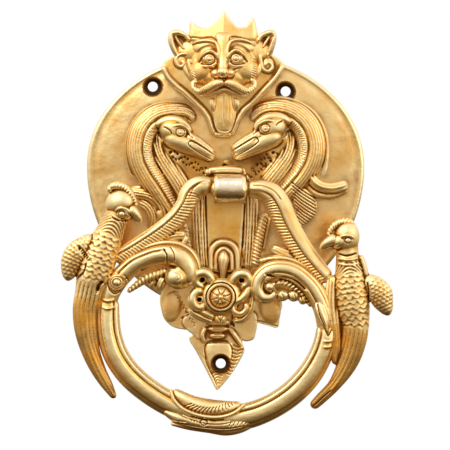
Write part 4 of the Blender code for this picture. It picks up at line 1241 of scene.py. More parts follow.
yoke_parts = [
    bar([
        (-9, HINGE_Z, HINGE_DEPTH, 4.4, 4.4), (0, HINGE_Z, HINGE_DEPTH, 4.4, 4.4),
        (13.6, HINGE_Z, HINGE_DEPTH, 4.3, 4.3),
    ]),
    bar(LEFT_ARM, arm_relief(1, 1.6, 11), around=72, pitch=0.4),
    bar(RIGHT_ARM, arm_relief(-1, -0.6, 15), around=72, pitch=0.4),
    # veined leaves that fill the corners between the arms and the scrolls
    bar([
        (-37.6, -42.4, 17.6, 1.2, 2), (-33, -39.4, 18, 2.4, 2.6), (-27, -37.6, 18.2, 3.2, 2.8),
        (-21, -37.4, 18, 2.6, 2.6),
    ], combed(1.7, 0.35)),
    bar([(-24, -43.2, 17.8, 1.2, 2), (-22, -40.4, 18, 1.8, 2.4), (-20.6, -37.4, 18, 1.4, 2)]),
    bar([
        (24.4, -44, 17.6, 1.6, 2), (28.6, -45.8, 18, 2.7, 2.6), (33.6, -48, 18, 2.8, 2.6),
        (39.4, -51.6, 17.6, 1.8, 2),
    ], combed(1.7, 0.35)),
]
yoke = cast("knocker_yoke_arms", yoke_parts, grain=0.36, soften=2)
chase(yoke, [(-9.4, -8.2), (-13.6, -9), (-17.4, -12.6), (-19.4, -17.6)], 1.3, -0.35)
chase(yoke, [(14.6, -10.6), (20, -11), (25.6, -13.4), (30, -18.4)], 1.3, -0.35)
finish_brass(yoke, "knocker_yoke_arms", cast_brass, "knocker", ["knocker_yoke"])


# --------------------------------------------------------------------------------------------------
# Scrolls.  Two leafy C-scrolls that carry the ring: the left one ends in a snail-like ball, the right
# one in a coil.  Cast in one with the ring, and burnished with a steel on their high sides.

burnished_brass = polished_cast_brass("burnished_cast_brass", "F7CC7A", "E9B152", "7C4A0C", 0.29, 0.05)


def scroll_relief(outer_side, start, stop):
    """A groove and a raised moulding along the outer side, from start to stop along the scroll."""

    def relief(along, across):
        side = across * outer_side
        run = np.clip((along - start) / 6, 0, 1) * np.clip((stop - along) / 6, 0, 1)
        outer = -0.85 * np.exp(-(((side - 2.2) / 0.4) ** 2)) + 0.35 * np.exp(-(((side - 3.6) / 0.8) ** 2))
        inner = -0.6 * np.exp(-(((side + 3.0) / 0.4) ** 2))
        return (outer + inner) * run

    return relief


LEFT_SCROLL = [
    (-63, -75, 20, 4.4, 4), (-61.4, -68, 20.4, 5.0, 4.4), (-57, -60.6, 20.8, 5.4, 4.8),
    (-50.6, -54.2, 21, 5.4, 5), (-44, -50.6, 21.2, 5.4, 5), (-37, -48.2, 21.4, 5.4, 5.2),
    (-30, -47.8, 21.6, 5.6, 5.4), (-24, -50, 21.8, 6.0, 5.6), (-20.6, -54.6, 22, 5.8, 5.6),
    (-20.4, -59.6, 22, 5.0, 5.2), (-24, -62.6, 22, 4.2, 4.6),
]
left_scroll_parts = [
    bar(LEFT_SCROLL, scroll_relief(-1, 10, 47), around=56, pitch=0.45),
    lump(-25.0, -59.4, 22.4, (7.6, 7.2, 5.6), 10),
    lump(-26.4, -60.2, 23.4, (6.2, 5.8, 5.4)),
    bar([
        (-58, -52.6, 18.4, 1.6, 2.4), (-50, -47.4, 19.2, 1.8, 2.8), (-41, -43.2, 19.8, 1.8, 3),
        (-32, -41.4, 20, 1.8, 3), (-24, -42.6, 20, 1.8, 3), (-18, -46.8, 20, 1.8, 3),
        (-14.8, -53, 19.8, 1.6, 2.8), (-14.4, -59, 19.4, 1.2, 2.2),
    ], around=24),
    # leaf end over the ring's shoulder, with a tiny rosette
    lump(-58.6, -62.6, 23.6, (4.6, 5.2, 3.2), -20),
    lump(-58.4, -62.8, 26.0, (2.1, 2.1, 1.6)),
    bar([
        (-64.4, -58, 20.6, 1.4, 2.4), (-62.6, -63, 21.6, 1.7, 2.8), (-61, -68, 22, 2.0, 2.8),
        (-58, -69.6, 21.8, 1.4, 2.2),
    ]),
    # leafy fringe under the scroll
    bar([
        (-30.4, -56, 18.6, 2.6, 2.6), (-36.6, -58.4, 18.8, 3.0, 2.8), (-43, -60.8, 18.6, 2.6, 2.6),
        (-48.4, -64.6, 18.4, 1.8, 2.2), (-53, -68, 18, 1.2, 1.8),
    ], roped(2.2, 0.4)),
    bar([
        (-32.4, -59.6, 18.8, 2.4, 2.6), (-34.6, -63.4, 18.8, 2.8, 2.6), (-36, -67.4, 18.4, 1.8, 2),
    ], combed(1.6, 0.35)),
    bar([(-37.4, -60.4, 18.2, 1.6, 2.2), (-39.4, -63.6, 18, 1.8, 2.2), (-39, -66.2, 17.6, 1.0, 1.6)]),
]
left_scroll = cast("left_scroll_leaf", left_scroll_parts, grain=0.36, soften=2)
for line, width, depth in (
    ([(-33.4, -44.4), (-31.6, -48), (-31.4, -52.6)], 1.4, -0.9),
    ([(-29.6, -43.4), (-27.8, -47), (-27.4, -51.6)], 1.3, -0.6),
    ([(-46, -56.6), (-39.4, -54.4), (-32.6, -54), (-26.4, -54.6)], 2.4, -2.0),
    ([(-28, -57.4), (-25.6, -58), (-24.4, -60.2), (-26, -62)], 0.9, -0.3),
    ([(-32.8, -58.4), (-32.4, -62.4), (-29.6, -65.4), (-25.6, -66.6), (-20.8, -65.4)], 1.2, -0.5),
):
    chase(left_scroll, line, width, depth)
eye_rings(left_scroll, -58.4, -62.8, ((2.3, 0.9, -0.5), (3.6, 0.9, -0.5)))
chase(left_scroll, [(-64, -60.4), (-62.6, -66), (-59.6, -69), (-56, -67.4)], 1.0, -0.6)
chase(left_scroll, [(-54.4, -58.6), (-52, -62.4), (-53.6, -66)], 1.2, -0.5)
finish_brass(
    left_scroll, "left_scroll_leaf", burnished_brass, "knocker", ["left_scroll"]
)

RIGHT_SCROLL = [
    (53.6, -94, 20, 4.0, 4), (53.8, -86, 20.4, 4.8, 4.4), (52.6, -78, 20.8, 5.2, 4.8),
    (49.4, -70, 21, 5.4, 5), (44.4, -63, 21.2, 5.4, 5), (37.6, -57.6, 21.4, 5.4, 5.2),
    (30.4, -55.4, 21.6, 5.2, 5.2), (23.8, -56.2, 21.8, 4.8, 5), (18.6, -60.2, 22, 4.2, 4.8),
    (17, -65.8, 22.2, 3.8, 4.4), (19.6, -70.4, 22.2, 3.4, 4), (24.2, -70.6, 22.2, 2.6, 3.4),
    (26.6, -67, 22.2, 2.0, 2.8),
]
right_scroll_parts = [
    bar(RIGHT_SCROLL, scroll_relief(-1, 16, 72), around=56, pitch=0.45),
    bar([
        (17.6, -51.4, 19.4, 1.2, 2.4), (24, -50, 19.8, 1.7, 3), (31, -49.8, 20, 1.8, 3),
        (38.4, -52, 20, 1.8, 3), (45, -56.8, 19.8, 1.7, 2.8), (50.6, -63.4, 19.4, 1.5, 2.6),
        (55, -71, 18.8, 1.2, 2.2),
    ], around=24),
    lump(23.6, -65.2, 22.6, (3.0, 2.9, 3.4)),
    lump(25.8, -63.6, 22.2, (1.6, 1.4, 2.4)),
    # leafy fringe under the scroll
    bar([
        (26, -63.6, 18.4, 2.2, 2.4), (32, -63.2, 18.6, 2.6, 2.6), (38.4, -66.2, 18.4, 2.6, 2.6),
        (43.6, -71, 18.2, 2.0, 2.2), (46.4, -76, 18, 1.2, 1.8),
    ], roped(2.2, 0.35)),
    lump(30.6, -69.8, 18.6, (3.8, 3.2, 2.8), 10),
    lump(36.6, -70, 18.4, (3.4, 3.2, 2.6), -10),
    lump(41.6, -72.2, 18.2, (2.4, 2.6, 2.2)),
]
right_scroll = cast("right_scroll_coil", right_scroll_parts, grain=0.36, soften=2)
for line, width, depth in (
    ([(21.6, -58.2), (26.4, -59.6), (32, -59.8), (38, -62), (43, -66.6)], 2.0, -1.7),
    ([(20.8, -62.4), (20.2, -66), (21.8, -68.4), (24.4, -68.6), (25.6, -66.6)], 1.0, -0.9),
    ([(21.4, -61.8), (24.6, -61.4), (27.2, -63)], 1.0, -0.8),
):
    chase(right_scroll, line, width, depth)
for k in range(5):
    chase(right_scroll, [(26.8 + 3.4 * k, -67.6 - 0.5 * k), (28 + 3.4 * k, -71.4 - 0.7 * k)], 1.0, -0.6)
for k in range(3):
    chase(right_scroll, [(22.4 + 1.6 * k, -57.6 + 0.5 * k), (23 + 1.6 * k, -60.4 + 0.3 * k)], 0.8, -0.5)
finish_brass(
    right_scroll, "right_scroll_coil", burnished_brass, "knocker", ["right_scroll"]
)


# --------------------------------------------------------------------------------------------------
# Ring.  The part the hand holds: a moulded bar with a lip along its inner edge, bent into a wide loop.
# Cast in one with the scrolls and birds, with leaf cuffs at its two shoulders, and burnished by use.

RING = [
    (-62.6, -70, 20, 5.4, 5), (-63.2, -80, 20, 6.2, 5.6), (-62.4, -91, 20, 6.6, 6),
    (-59, -101.6, 20, 6.8, 6.2), (-52.4, -111.4, 20, 6.9, 6.2), (-43.4, -119.6, 20, 6.9, 6.2),
    (-32, -127, 20, 6.9, 6.2), (-19, -132.4, 20, 7.2, 6.4), (-4, -135.4, 20, 7.4, 6.4),
    (10, -134.8, 20, 7.2, 6.4), (23, -130.4, 20, 6.8, 6.2), (35, -122.8, 20, 6.8, 6.2),
    (44.2, -113.4, 20, 6.8, 6.2), (50.6, -103, 20, 6.5, 6), (54, -93, 20, 6.2, 5.6),
    (54.4, -84, 20, 5.4, 5),
]


def ring_relief(along, across):
    """A lip along the inner edge, a groove beside it, and a shallow groove towards the outer edge."""
    lip = -1.0 * np.exp(-(((across + 3.3) / 0.5) ** 2)) + 0.5 * np.exp(-(((across + 4.9) / 0.9) ** 2))
    fillet = -0.45 * np.exp(-(((across + 1.9) / 0.35) ** 2))
    outer = -0.55 * np.exp(-(((across - 4.4) / 0.4) ** 2))
    fade = np.clip((along - 6) / 8, 0, 1)
    return (lip + outer) * np.clip(along / 4, 0, 1) + fillet * fade * np.clip((120 - along) / 20, 0, 1)


ring_parts = [
    bar(RING, ring_relief, around=64, pitch=0.45),
    # cuff and collar at the left shoulder
    bar([(-66.6, -71.6, 21.6, 0.9, 3), (-63, -72.6, 23.2, 1.1, 3.2), (-59, -71.4, 22, 0.9, 3)]),
    bar([(-67.2, -75.6, 21.4, 0.8, 3), (-63.2, -76.8, 23.1, 1.0, 3.2), (-59.2, -75.6, 21.8, 0.8, 3)]),
    # leaf and collars at the right shoulder
    bar([
        (50, -71, 21.4, 2.4, 3.6), (51, -77, 23.0, 3.8, 3.8), (53, -83, 23.6, 3.0, 3.4),
        (55, -90, 23.2, 1.0, 2.6),
    ], combed(2.4, 0.25)),
    bar([(51.2, -93.6, 21.8, 0.8, 3), (54.4, -94.4, 23.2, 1.0, 3.2), (57.8, -93.6, 21.8, 0.8, 3)]),
    bar([(51, -96.6, 21.8, 0.8, 3), (54.2, -97.4, 23.4, 1.0, 3.2), (57.6, -96.8, 21.8, 0.8, 3)]),
]
ring = cast("knocker_ring_loop", ring_parts, grain=0.42, soften=2)
chase(ring, [(49.4, -74), (50.4, -80), (53, -86), (55, -91.4), (57.4, -86), (57, -79)], 1.1, -0.7)
chase(ring, [(-66, -79.4), (-65.6, -88), (-63.8, -98)], 0.9, -0.25)
finish_brass(ring, "knocker_ring_loop", burnished_brass, "knocker", ["knocker_ring"])


# --------------------------------------------------------------------------------------------------
# Clasp.  A leaf wrapped round the bottom of the ring: a fluted half-moon on its inner side and a band
# with an eye.  Cast in one with the ring, with its flutes and veins cut after casting.

clasp_parts = [
    bar([
        (-28.4, -120.6, 22, 2.2, 3.2), (-24, -124.4, 23, 3.6, 4.2), (-17, -128.2, 23.6, 4.6, 4.6),
        (-8, -130.4, 23.8, 5.0, 4.8), (1, -130.4, 23.6, 4.2, 4.6), (9, -128.4, 22.6, 2.0, 3.4),
    ]),
    bar([
        (-29.6, -120, 24.6, 0.9, 2), (-27.4, -126, 25.8, 1.1, 2), (-21.6, -131.2, 26.8, 1.2, 2),
        (-12, -134.4, 27.2, 1.2, 2), (-3, -134.8, 27.2, 1.2, 2), (4.4, -132.6, 26.8, 1.1, 2),
        (10.6, -127.6, 24.8, 0.8, 1.8),
    ], around=20),
    bar([
        (-33.6, -131.4, 20.6, 1.6, 4), (-26, -135, 21.4, 3.4, 5.4), (-14, -137.8, 21.6, 4.6, 5.8),
        (-2, -138.8, 21.6, 4.8, 5.8), (8, -138.4, 21.2, 3.8, 5.2), (17, -135.4, 20.4, 1.8, 4),
    ]),
    bar([
        (-29.6, -138.6, 20.4, 1.0, 3), (-20, -140.2, 20.8, 1.9, 4), (-9, -141.4, 20.8, 2.4, 4.4),
        (0, -142.6, 20.6, 2.6, 4.4), (8, -141.8, 20.4, 2.0, 4), (15.4, -139.2, 20, 1.0, 3),
    ]),
    lump(-11.6, -137.6, 26.8, (1.5, 1.5, 1.5)),
    bar([
        (-30.6, -134.4, 21.4, 1.3, 3.4), (-26.4, -136.6, 23, 1.6, 3.6), (-23, -135.6, 23.6, 1.2, 3),
        (-22.4, -133.2, 23.6, 0.9, 2.6),
    ]),
]
clasp = cast("ring_clasp_leaf", clasp_parts, grain=0.36, soften=2)
# flutes of the half-moon
for k in range(15):
    a = math.radians(228 + 6.6 * k)
    foot = (-9.4 + 19.4 * math.cos(a), -117.4 + 15.6 * math.sin(a))
    tip = (-9.6 + 15.2 * math.cos(a + 0.16), -117.4 + 12.2 * math.sin(a + 0.16))
    chase(clasp, [foot, ((foot[0] + tip[0]) / 2 - 0.4, (foot[1] + tip[1]) / 2), tip], 0.95, -0.75)
eye_rings(clasp, -11.6, -137.6, ((1.9, 0.8, -0.7),))
for line, width, depth in (
    ([(-31, -127.4), (-27.4, -131.4), (-20.6, -135.4), (-11, -138.4), (0, -138.4), (8, -135)], 1.0, -0.5),
    ([(-24, -138.6), (-12, -140.4), (0, -141.2), (9, -139.8)], 1.0, -0.8),
    ([(-33, -132.8), (-28.4, -136.4), (-21, -137.4)], 1.0, -0.7),
):
    chase(clasp, line, width, depth)
for k in range(6):
    chase(clasp, [(3.4 + 2.5 * k, -135.8 + 0.5 * k), (1.8 + 2.2 * k, -140 + 0.3 * k)], 1.0, -0.7)
for k in range(5):
    chase(clasp, [(-18.6 + 1.5 * k, -135.9 - 0.25 * k), (-17.9 + 1.5 * k, -137.3 - 0.2 * k)], 0.8, -0.5)
finish_brass(clasp, "ring_clasp_leaf", cast_brass, "knocker", ["ring_clasp"])


# --------------------------------------------------------------------------------------------------
# Striker.  A plain stud on the back of the ring that knocks on the door, turned smooth and slightly
# domed.

striker = turned(
    "striker_stud_turned", -4.0, -136.0,
    [(0, 0.5), (4.6, 0.6), (5.6, 1.1), (6.0, 2.2), (6.0, 16), (5.4, 18), (0, 18)],
)
finish_brass(striker, "striker_stud_turned", cast_brass, "knocker", ["striker_stud"])


# --------------------------------------------------------------------------------------------------
# Rosette mount.  Four curled lobes with drilled eyes round a flat seat, and two leaves below, between
# the scrolls.  Cast in one with the scrolls and burnished.

mount_parts = [
    lump(-2.4, -70.8, 20.6, (11.2, 10.6, 4.6)),
    bar([
        (-7.4, -64.6, 20.4, 2.6, 3.4), (-8.4, -60.2, 21, 3.0, 3.7), (-11.4, -57.6, 21.4, 3.0, 3.8),
        (-15.2, -58.6, 21.4, 2.9, 3.7), (-16.2, -61.8, 21.2, 2.7, 3.4), (-14.2, -64.2, 20.8, 2.5, 3.2),
        (-11, -64.8, 20.4, 2.2, 3),
    ]),
    lump(-12.2, -61.2, 20.4, (3.0, 2.8, 2.6)),
    bar([
        (-11.6, -67, 20.4, 2.4, 3.2), (-15.8, -67.9, 21, 2.7, 3.5), (-17.7, -71.5, 21.2, 2.9, 3.6),
        (-16.4, -75.2, 21, 2.8, 3.5), (-13.2, -76.2, 20.8, 2.5, 3.2), (-11, -73.6, 20.6, 2.1, 3),
    ]),
    lump(-14, -72, 20.4, (2.8, 2.8, 2.6)),
    bar([
        (3.6, -64.4, 20.4, 2.5, 3.2), (4.8, -60.8, 21, 2.9, 3.6), (7.6, -58.3, 21.4, 2.9, 3.8),
        (11, -58.7, 21.4, 2.8, 3.7), (12.3, -61.6, 21.2, 2.7, 3.4), (10.9, -64.2, 20.8, 2.5, 3.2),
        (7.8, -65.0, 20.6, 2.2, 3),
    ]),
    lump(8.6, -61.4, 20.4, (2.8, 2.6, 2.6)),
    bar([
        (12.2, -64, 20.6, 1.6, 3), (11.6, -68, 20.8, 2.4, 3.2), (8.4, -71.6, 20.8, 2.2, 3.2),
        (3.8, -74, 20.8, 1.9, 3.2), (4.4, -78, 20.8, 1.9, 3.2), (8, -79.6, 20.8, 1.9, 3.2),
        (11, -77, 20.8, 1.9, 3.2), (10.6, -73.4, 20.8, 1.8, 3),
    ]),
    bar([
        (13.6, -66.4, 19.6, 1.3, 2.6), (14.4, -71, 19.6, 1.7, 2.6), (13.6, -77, 19.4, 1.8, 2.6),
        (9.4, -82.4, 19.2, 2.1, 2.8), (3.6, -83.4, 19, 1.6, 2.4),
    ], combed(1.5, 0.3)),
    bar([
        (-19, -75.6, 19.4, 1.4, 2.4), (-17.6, -78.8, 19.6, 2.0, 2.8), (-12.6, -81.6, 19.6, 2.3, 2.8),
        (-6.4, -84.2, 19.2, 1.8, 2.4),
    ], combed(1.5, 0.3)),
    bar([(-14.8, -77.6, 20.2, 1.6, 2.6), (-9.8, -79.8, 20.4, 2.0, 2.8), (-5.8, -82, 20, 1.5, 2.4)]),
    lump(-2.8, -82, 19.8, (3.6, 3.4, 3.2)),
    lump(-2.6, -78.6, 20.4, (4.2, 2.6, 3.2)),
]
mount = cast("rosette_mount_lobes", mount_parts, grain=0.34, soften=2)
# eyes drilled into the lobes
for x, z, radius in ((-12.4, -61.4, 1.3), (-14, -72, 1.2), (8.6, -61.6, 1.3), (7.4, -75.8, 1.3)):
    cut_away(
        mount,
        turned(
            "eye", x, z, [(0, 19.4), (radius * 0.8, 19.6), (radius, 21), (radius + 0.5, 28), (0, 28)], 24
        ),
    )
for k in range(4):
    chase(mount, [(-9.4 + 0.6 * k, -60.4 - 0.9 * k), (-7.8 + 0.7 * k, -60.8 - 1.0 * k)], 0.7, -0.35)
chase(mount, [(-4.6, -80.6), (-2.8, -83.6), (-1.2, -80.8)], 0.9, -0.7)
chase(mount, [(-2.8, -78.6), (-2.8, -84.4)], 0.8, -0.5)
seat_cut = [(0, 22.9), (8.2, 22.9), (8.6, 24.2), (8.8, 30), (0, 30)]
cut_away(mount, turned("seat", -2.6, -70.6, seat_cut, 48))
cut_away(mount, turned("bore", -2.6, -70.6, [(0, 14), (2.6, 14), (2.6, 23.6), (0, 23.6)], 32))
finish_brass(
    mount, "rosette_mount_lobes", burnished_brass, "knocker", ["rosette_mount"],
    full=0.3,
)


# --------------------------------------------------------------------------------------------------
# Rosette.  A round rivet head with a raised rim, eight petals and a button, whose shank is peened behind
# the mount.  Turned from brass bar, with its petals cut by a gouge, and burnished.

ROSETTE_X, ROSETTE_Z = -2.6, -70.6
rosette_profile = [
    (0, 14.3), (2.6, 14.5), (3.8, 15.4), (3.9, 16.1), (2.3, 16.3), (2.3, 23.6), (7.0, 23.7), (7.5, 24.2),
    (7.6, 25.4), (7.3, 26.2),
]
rosette_profile += [
    (6.8, 26.4), (6.3, 26.0), (5.9, 25.2), (5.6, 25.4), (5.2, 26.4), (4.2, 27.6), (3.0, 28.4), (1.9, 28.5),
    (1.6, 28.2), (1.4, 28.7), (0.8, 29.3), (0, 29.5),
]
section = np.array(rosette_profile)
steps = np.concatenate([[0], np.cumsum(np.linalg.norm(np.diff(section, axis=0), axis=1))])
places = np.linspace(0, steps[-1], 150)
smooth_profile = np.column_stack([np.interp(places, steps, column) for column in section.T])
rosette = turned("rosette_rivet_head", ROSETTE_X, ROSETTE_Z, smooth_profile, 128)
# petals
for k in range(8):
    a = 2 * math.pi * (k + 0.35) / 8
    spoke = [(ROSETTE_X + r * math.cos(a), ROSETTE_Z + r * math.sin(a)) for r in (1.7, 3.4, 5.6)]
    chase(rosette, spoke, 1.1, -0.75)
finish_brass(
    rosette, "rosette_rivet_head", burnished_brass, "knocker", ["rosette_rivet"],
    full=0.3,
)


# --------------------------------------------------------------------------------------------------
# Birds.  Two hook-billed birds perch back to back on the ring's shoulders, with scaled breasts and long
# tails.  Cast in one with the ring; their feathers are cut one by one with curved and straight chisels.


def plumage(scales_from, scales_to, rings=(0, 0), wide=3.9, pitch=2.9):
    """Relief for a bird's body: neck rings, then overlapping scales, then the long strands of the tail."""

    def relief(along, across):
        waver = 0.35 * np.sin(across * 1.3 + along * 0.45) + 0.25 * np.sin(across * 0.6 - along * 0.8)
        row = np.floor((along + waver) / pitch)
        local = (along + waver) / pitch - row
        column = across / wide + 0.5 * (row % 2) + 0.12 * np.sin(row * 2.3)
        off = np.abs(column - np.round(column)) * 2
        edge = 1 - 0.62 * off**2
        tile = np.where(local < edge, 0.15 + 0.55 * (local / edge) ** 1.5, 0.1 * (1 - local))
        starts = np.clip((along - scales_from) / 1.5, 0, 1)
        ends = np.clip((scales_to - along) / 1.5, 0, 1)
        scales = (tile - 0.35) * starts * ends
        neck = 0.34 * np.cos((along - 0.12 * across**2) * 2 * np.pi / 2.0)
        neck = neck * np.clip((along - rings[0]) / 1, 0, 1) * np.clip((rings[1] - along) / 1, 0, 1)
        in_tail = np.clip((along - scales_to) / 2, 0, 1)
        strands = (0.55 * np.abs(np.cos((across + 0.6) * np.pi / 2.3)) - 0.4) * in_tail
        notches = 0.1 * np.cos((along + 0.8 * across) * 2 * np.pi / 1.7) * in_tail
        return 0.75 * scales + neck + strands + 0.4 * notches

    return relief


def wing_relief(along, across):
    """Short overlapping feathers across the wing."""
    row = np.floor(along / 2.0)
    local = along / 2.0 - row
    column = across / 2.4 + 0.5 * (row % 2)
    off = np.abs(column - np.round(column)) * 2
    return 0.55 * (np.where(local < 1 - 0.5 * off**2, local, 0.0) - 0.4) * np.clip((along - 3) / 2, 0, 1)


# left bird
left_bird_parts = [
    bar([
        (-57.2, -20, 21.6, 6.0, 6), (-58.4, -27, 21.4, 6.4, 6.2), (-61.6, -34.6, 21.4, 7.4, 6.6),
        (-65.4, -43, 21.6, 8.8, 7.4), (-68.4, -51, 21.6, 9.6, 7.8), (-71.4, -60, 21.6, 8.8, 7.4),
        (-73.6, -68, 21.4, 7.4, 6.4), (-75.4, -78, 21.2, 6.8, 5.8), (-74.8, -89, 21, 6.2, 5.4),
        (-72.4, -100, 21, 5.0, 4.8), (-68.2, -110, 21, 4.0, 4.2), (-63.4, -118.4, 21, 3.0, 3.4),
        (-59.4, -125, 21, 1.4, 2.2),
    ], plumage(17, 46, (7.5, 18)), around=96, pitch=0.35),
    lump(-56.2, -20.0, 22.4, (8.2, 7.6, 6.6), 15),
    lump(-54.2, -24.6, 23.4, (5.6, 4.6, 5.6), -30),
    bar([
        (-53, -22.6, 24.6, 3.8, 4), (-49.4, -25, 24.8, 3.2, 3.6), (-46.6, -28, 24.4, 2.1, 2.8),
        (-45.4, -31, 23.8, 0.9, 1.6),
    ]),
    bar([(-51, -27.4, 23.4, 1.8, 2.6), (-48.4, -28.8, 23.4, 1.3, 2.0), (-46.8, -30, 23, 0.8, 1.4)]),
    bar([
        (-62.8, -14.6, 22.6, 1.4, 2.4), (-61.4, -11.6, 23, 1.8, 2.4), (-58, -10.8, 23.4, 2.2, 2.6),
        (-54, -12, 23.6, 2.3, 2.6), (-51.2, -15, 23.8, 2.1, 2.6), (-49, -18.6, 24, 1.6, 2.2),
        (-47.4, -22.6, 24, 0.9, 1.6),
    ], roped(1.7, 0.3)),
    lump(-55.6, -26, 27.4, (2.4, 2.0, 1.8)),
    bar([
        (-59.4, -24.8, 26.4, 0.8, 1.4), (-56.6, -22.8, 27.6, 1.0, 1.6), (-53, -23.6, 27.8, 0.9, 1.4),
        (-51, -25.8, 27, 0.7, 1.2),
    ]),
    bar([
        (-69.6, -38.6, 22, 3.4, 3.4), (-75.4, -42.4, 23, 5.0, 4), (-79.8, -46.8, 23.2, 6.4, 4),
        (-82.4, -52, 22.8, 6.2, 3.8), (-84, -57.4, 22, 4.4, 3.2), (-85, -62, 21.4, 1.8, 2.2),
    ], wing_relief, around=56, pitch=0.4),
    bar([
        (-60.6, -60, 21, 1.6, 3), (-64, -60.4, 22.4, 1.6, 3), (-69.6, -64.6, 22.6, 1.7, 3),
        (-70, -70, 22, 1.4, 2.6),
    ]),
]
left_bird = cast("left_bird_figure", left_bird_parts, grain=0.36, soften=1)
eye_rings(left_bird, -55.6, -26, ((1.7, 0.9, -0.8),))
for line, width, depth in (
    ([(-52.6, -25.4), (-50.4, -27.2), (-47.8, -29.4), (-46, -31)], 0.8, -0.7),
    ([(-61.2, -27.4), (-57, -29.6), (-52, -29.8)], 1.2, -0.7),
    ([(-79, -43.4), (-76.4, -46.6), (-73.6, -50.4)], 3.0, -1.3),
):
    chase(left_bird, line, width, depth)
chase(left_bird, [(-78.2, -44.4), (-75.8, -47.4), (-73.4, -50.6)], 2.0, 1.0, ticks=1.2)
chase(left_bird, [(-74.6, -52), (-76, -57), (-79.6, -60.6)], 1.4, -0.9)
chase(left_bird, [(-65.6, -61.6), (-68, -64), (-68.8, -67.6)], 3.2, -2.4)
finish_brass(left_bird, "left_bird_figure", cast_brass, "knocker", ["left_bird"], full=0.17)
# darken the left bird's lower body and tail
darken_round(left_bird, -78, -94, 22, 0.6)
darken_round(left_bird, -70, -118, 14, 0.55)

# right bird
right_bird_parts = [
    bar([
        (65, -37, 21.6, 6.4, 6.2), (65.4, -45, 21.4, 6.0, 6), (65.8, -52, 21.4, 6.6, 6.4),
        (66.8, -60, 21.6, 8.2, 7.2), (67.6, -68, 21.6, 9.0, 7.6), (68.8, -77, 21.6, 8.8, 7.4),
        (69.8, -85, 21.4, 7.4, 6.6), (69, -94, 21.2, 6.8, 6), (66.6, -103, 21, 6.0, 5.4),
        (62.6, -111.6, 21, 4.6, 4.4), (57.8, -118.6, 21, 3.4, 3.6), (51.6, -124.8, 21, 3.0, 3.2),
        (46.2, -130, 21, 2.4, 2.8),
    ], plumage(21, 51, (14.4, 21.4)), around=96, pitch=0.35),
    lump(65, -38.6, 22.4, (7.0, 9.2, 6.6), -6),
    lump(61.4, -40.6, 23.4, (5.4, 4.6, 5.6), 20),
    bar([
        (60.6, -38.8, 24.6, 3.8, 4), (56.6, -40.4, 24.8, 3.2, 3.6), (53, -42.4, 24.4, 2.2, 2.8),
        (50.8, -45.4, 23.8, 1.0, 1.6),
    ]),
    bar([(59, -43.4, 23.4, 1.9, 2.6), (55.6, -44.2, 23.4, 1.4, 2.0), (52.6, -45, 23, 0.8, 1.4)]),
    bar([
        (55.2, -38.6, 22.8, 1.1, 2), (56.2, -34.8, 23, 1.6, 2.4), (59, -31.8, 23.2, 2.1, 2.6),
        (62.8, -30.2, 23.2, 2.2, 2.6), (66.6, -30.6, 22.8, 2.0, 2.6), (69.8, -33, 22.4, 1.3, 2),
    ], roped(1.7, 0.3)),
    lump(65.6, -40.2, 27.6, (2.5, 2.1, 1.8)),
    bar([
        (60.8, -38.6, 27, 0.8, 1.4), (63.6, -37.6, 28, 1.0, 1.6), (67, -37.8, 28, 0.9, 1.4),
        (69, -39.6, 27, 0.7, 1.2),
    ]),
    bar([(59.6, -49.4, 21.6, 1.0, 4.4), (65.4, -50.6, 25.4, 1.1, 3), (71.4, -49.6, 22, 0.9, 4.2)]),
    bar([(59.6, -52.2, 21.6, 1.0, 4.4), (65.6, -53.4, 25.6, 1.1, 3), (71.8, -52.4, 22, 0.9, 4.2)]),
    bar([(72.4, -48, 21, 1.6, 3.6), (74.4, -54, 21.4, 1.6, 3.6), (75.6, -60, 21.4, 1.6, 3.4)]),
    bar([
        (73, -61.4, 22, 3.6, 3.4), (78.6, -63.8, 23, 5.4, 4), (82.4, -68, 23.2, 6.8, 4),
        (84.6, -73, 22.8, 5.8, 3.8), (86.6, -77.6, 22, 3.6, 3.2), (87.8, -80.6, 21.4, 1.6, 2.2),
    ], wing_relief, around=56, pitch=0.4),
    # web that runs from the bird to the end of the arm and the ring
    bar([
        (58.6, -58.6, 20.4, 3.4, 3.4), (58, -66, 20.6, 4.4, 3.8), (57.8, -75, 20.8, 4.6, 4),
        (58.6, -85, 21, 4.0, 4), (59.4, -96, 21, 3.0, 3.4), (58.8, -107, 20.8, 1.6, 2.6),
    ], combed(1.9, 0.3)),
]
right_bird = cast("right_bird_figure", right_bird_parts, grain=0.36, soften=1)
eye_rings(right_bird, 65.6, -40.2, ((1.7, 0.9, -0.8),))
for line, width, depth in (
    ([(60.4, -42.2), (57, -43.2), (53.4, -44.4), (51.4, -45.8)], 0.8, -0.7),
    ([(60.4, -47.2), (65, -48.4), (70.4, -47)], 1.4, -0.9),
    ([(76, -62.6), (76.8, -68), (76.4, -74)], 1.4, -0.9),
    ([(56.6, -120.6), (52, -124.6), (46.6, -129.8)], 1.2, -1.1),
):
    chase(right_bird, line, width, depth)
finish_brass(right_bird, "right_bird_figure", cast_brass, "knocker", ["right_bird"], full=0.17)
# darken the right bird's lower body and tail
darken_round(right_bird, 62, -104, 18, 0.6)
darken_round(right_bird, 52, -124, 12, 0.75)


# --------------------------------------------------------------------------------------------------
# Studio.  A pale floor far below, white all round for the camera, and soft lights above and to the left.

bpy.context.scene.view_settings.view_transform = "Standard"
bpy.ops.object.select_all(action="DESELECT")
bpy.ops.mesh.primitive_circle_add(vertices=96, radius=2.4, fill_type="NGON", location=(0, 0, -0.4))
floor = bpy.context.object
floor.name = "studio_floor"
floor.visible_glossy = False
floor_paint = bpy.data.materials.new("matt_white_floor")
floor_paint.use_nodes = True
floor_paint.node_tree.nodes["Principled BSDF"].inputs["Base Color"].default_value = tone("F4F3F0")
floor_paint.node_tree.nodes["Principled BSDF"].inputs["Roughness"].default_value = 0.9
floor.data.materials.append(floor_paint)


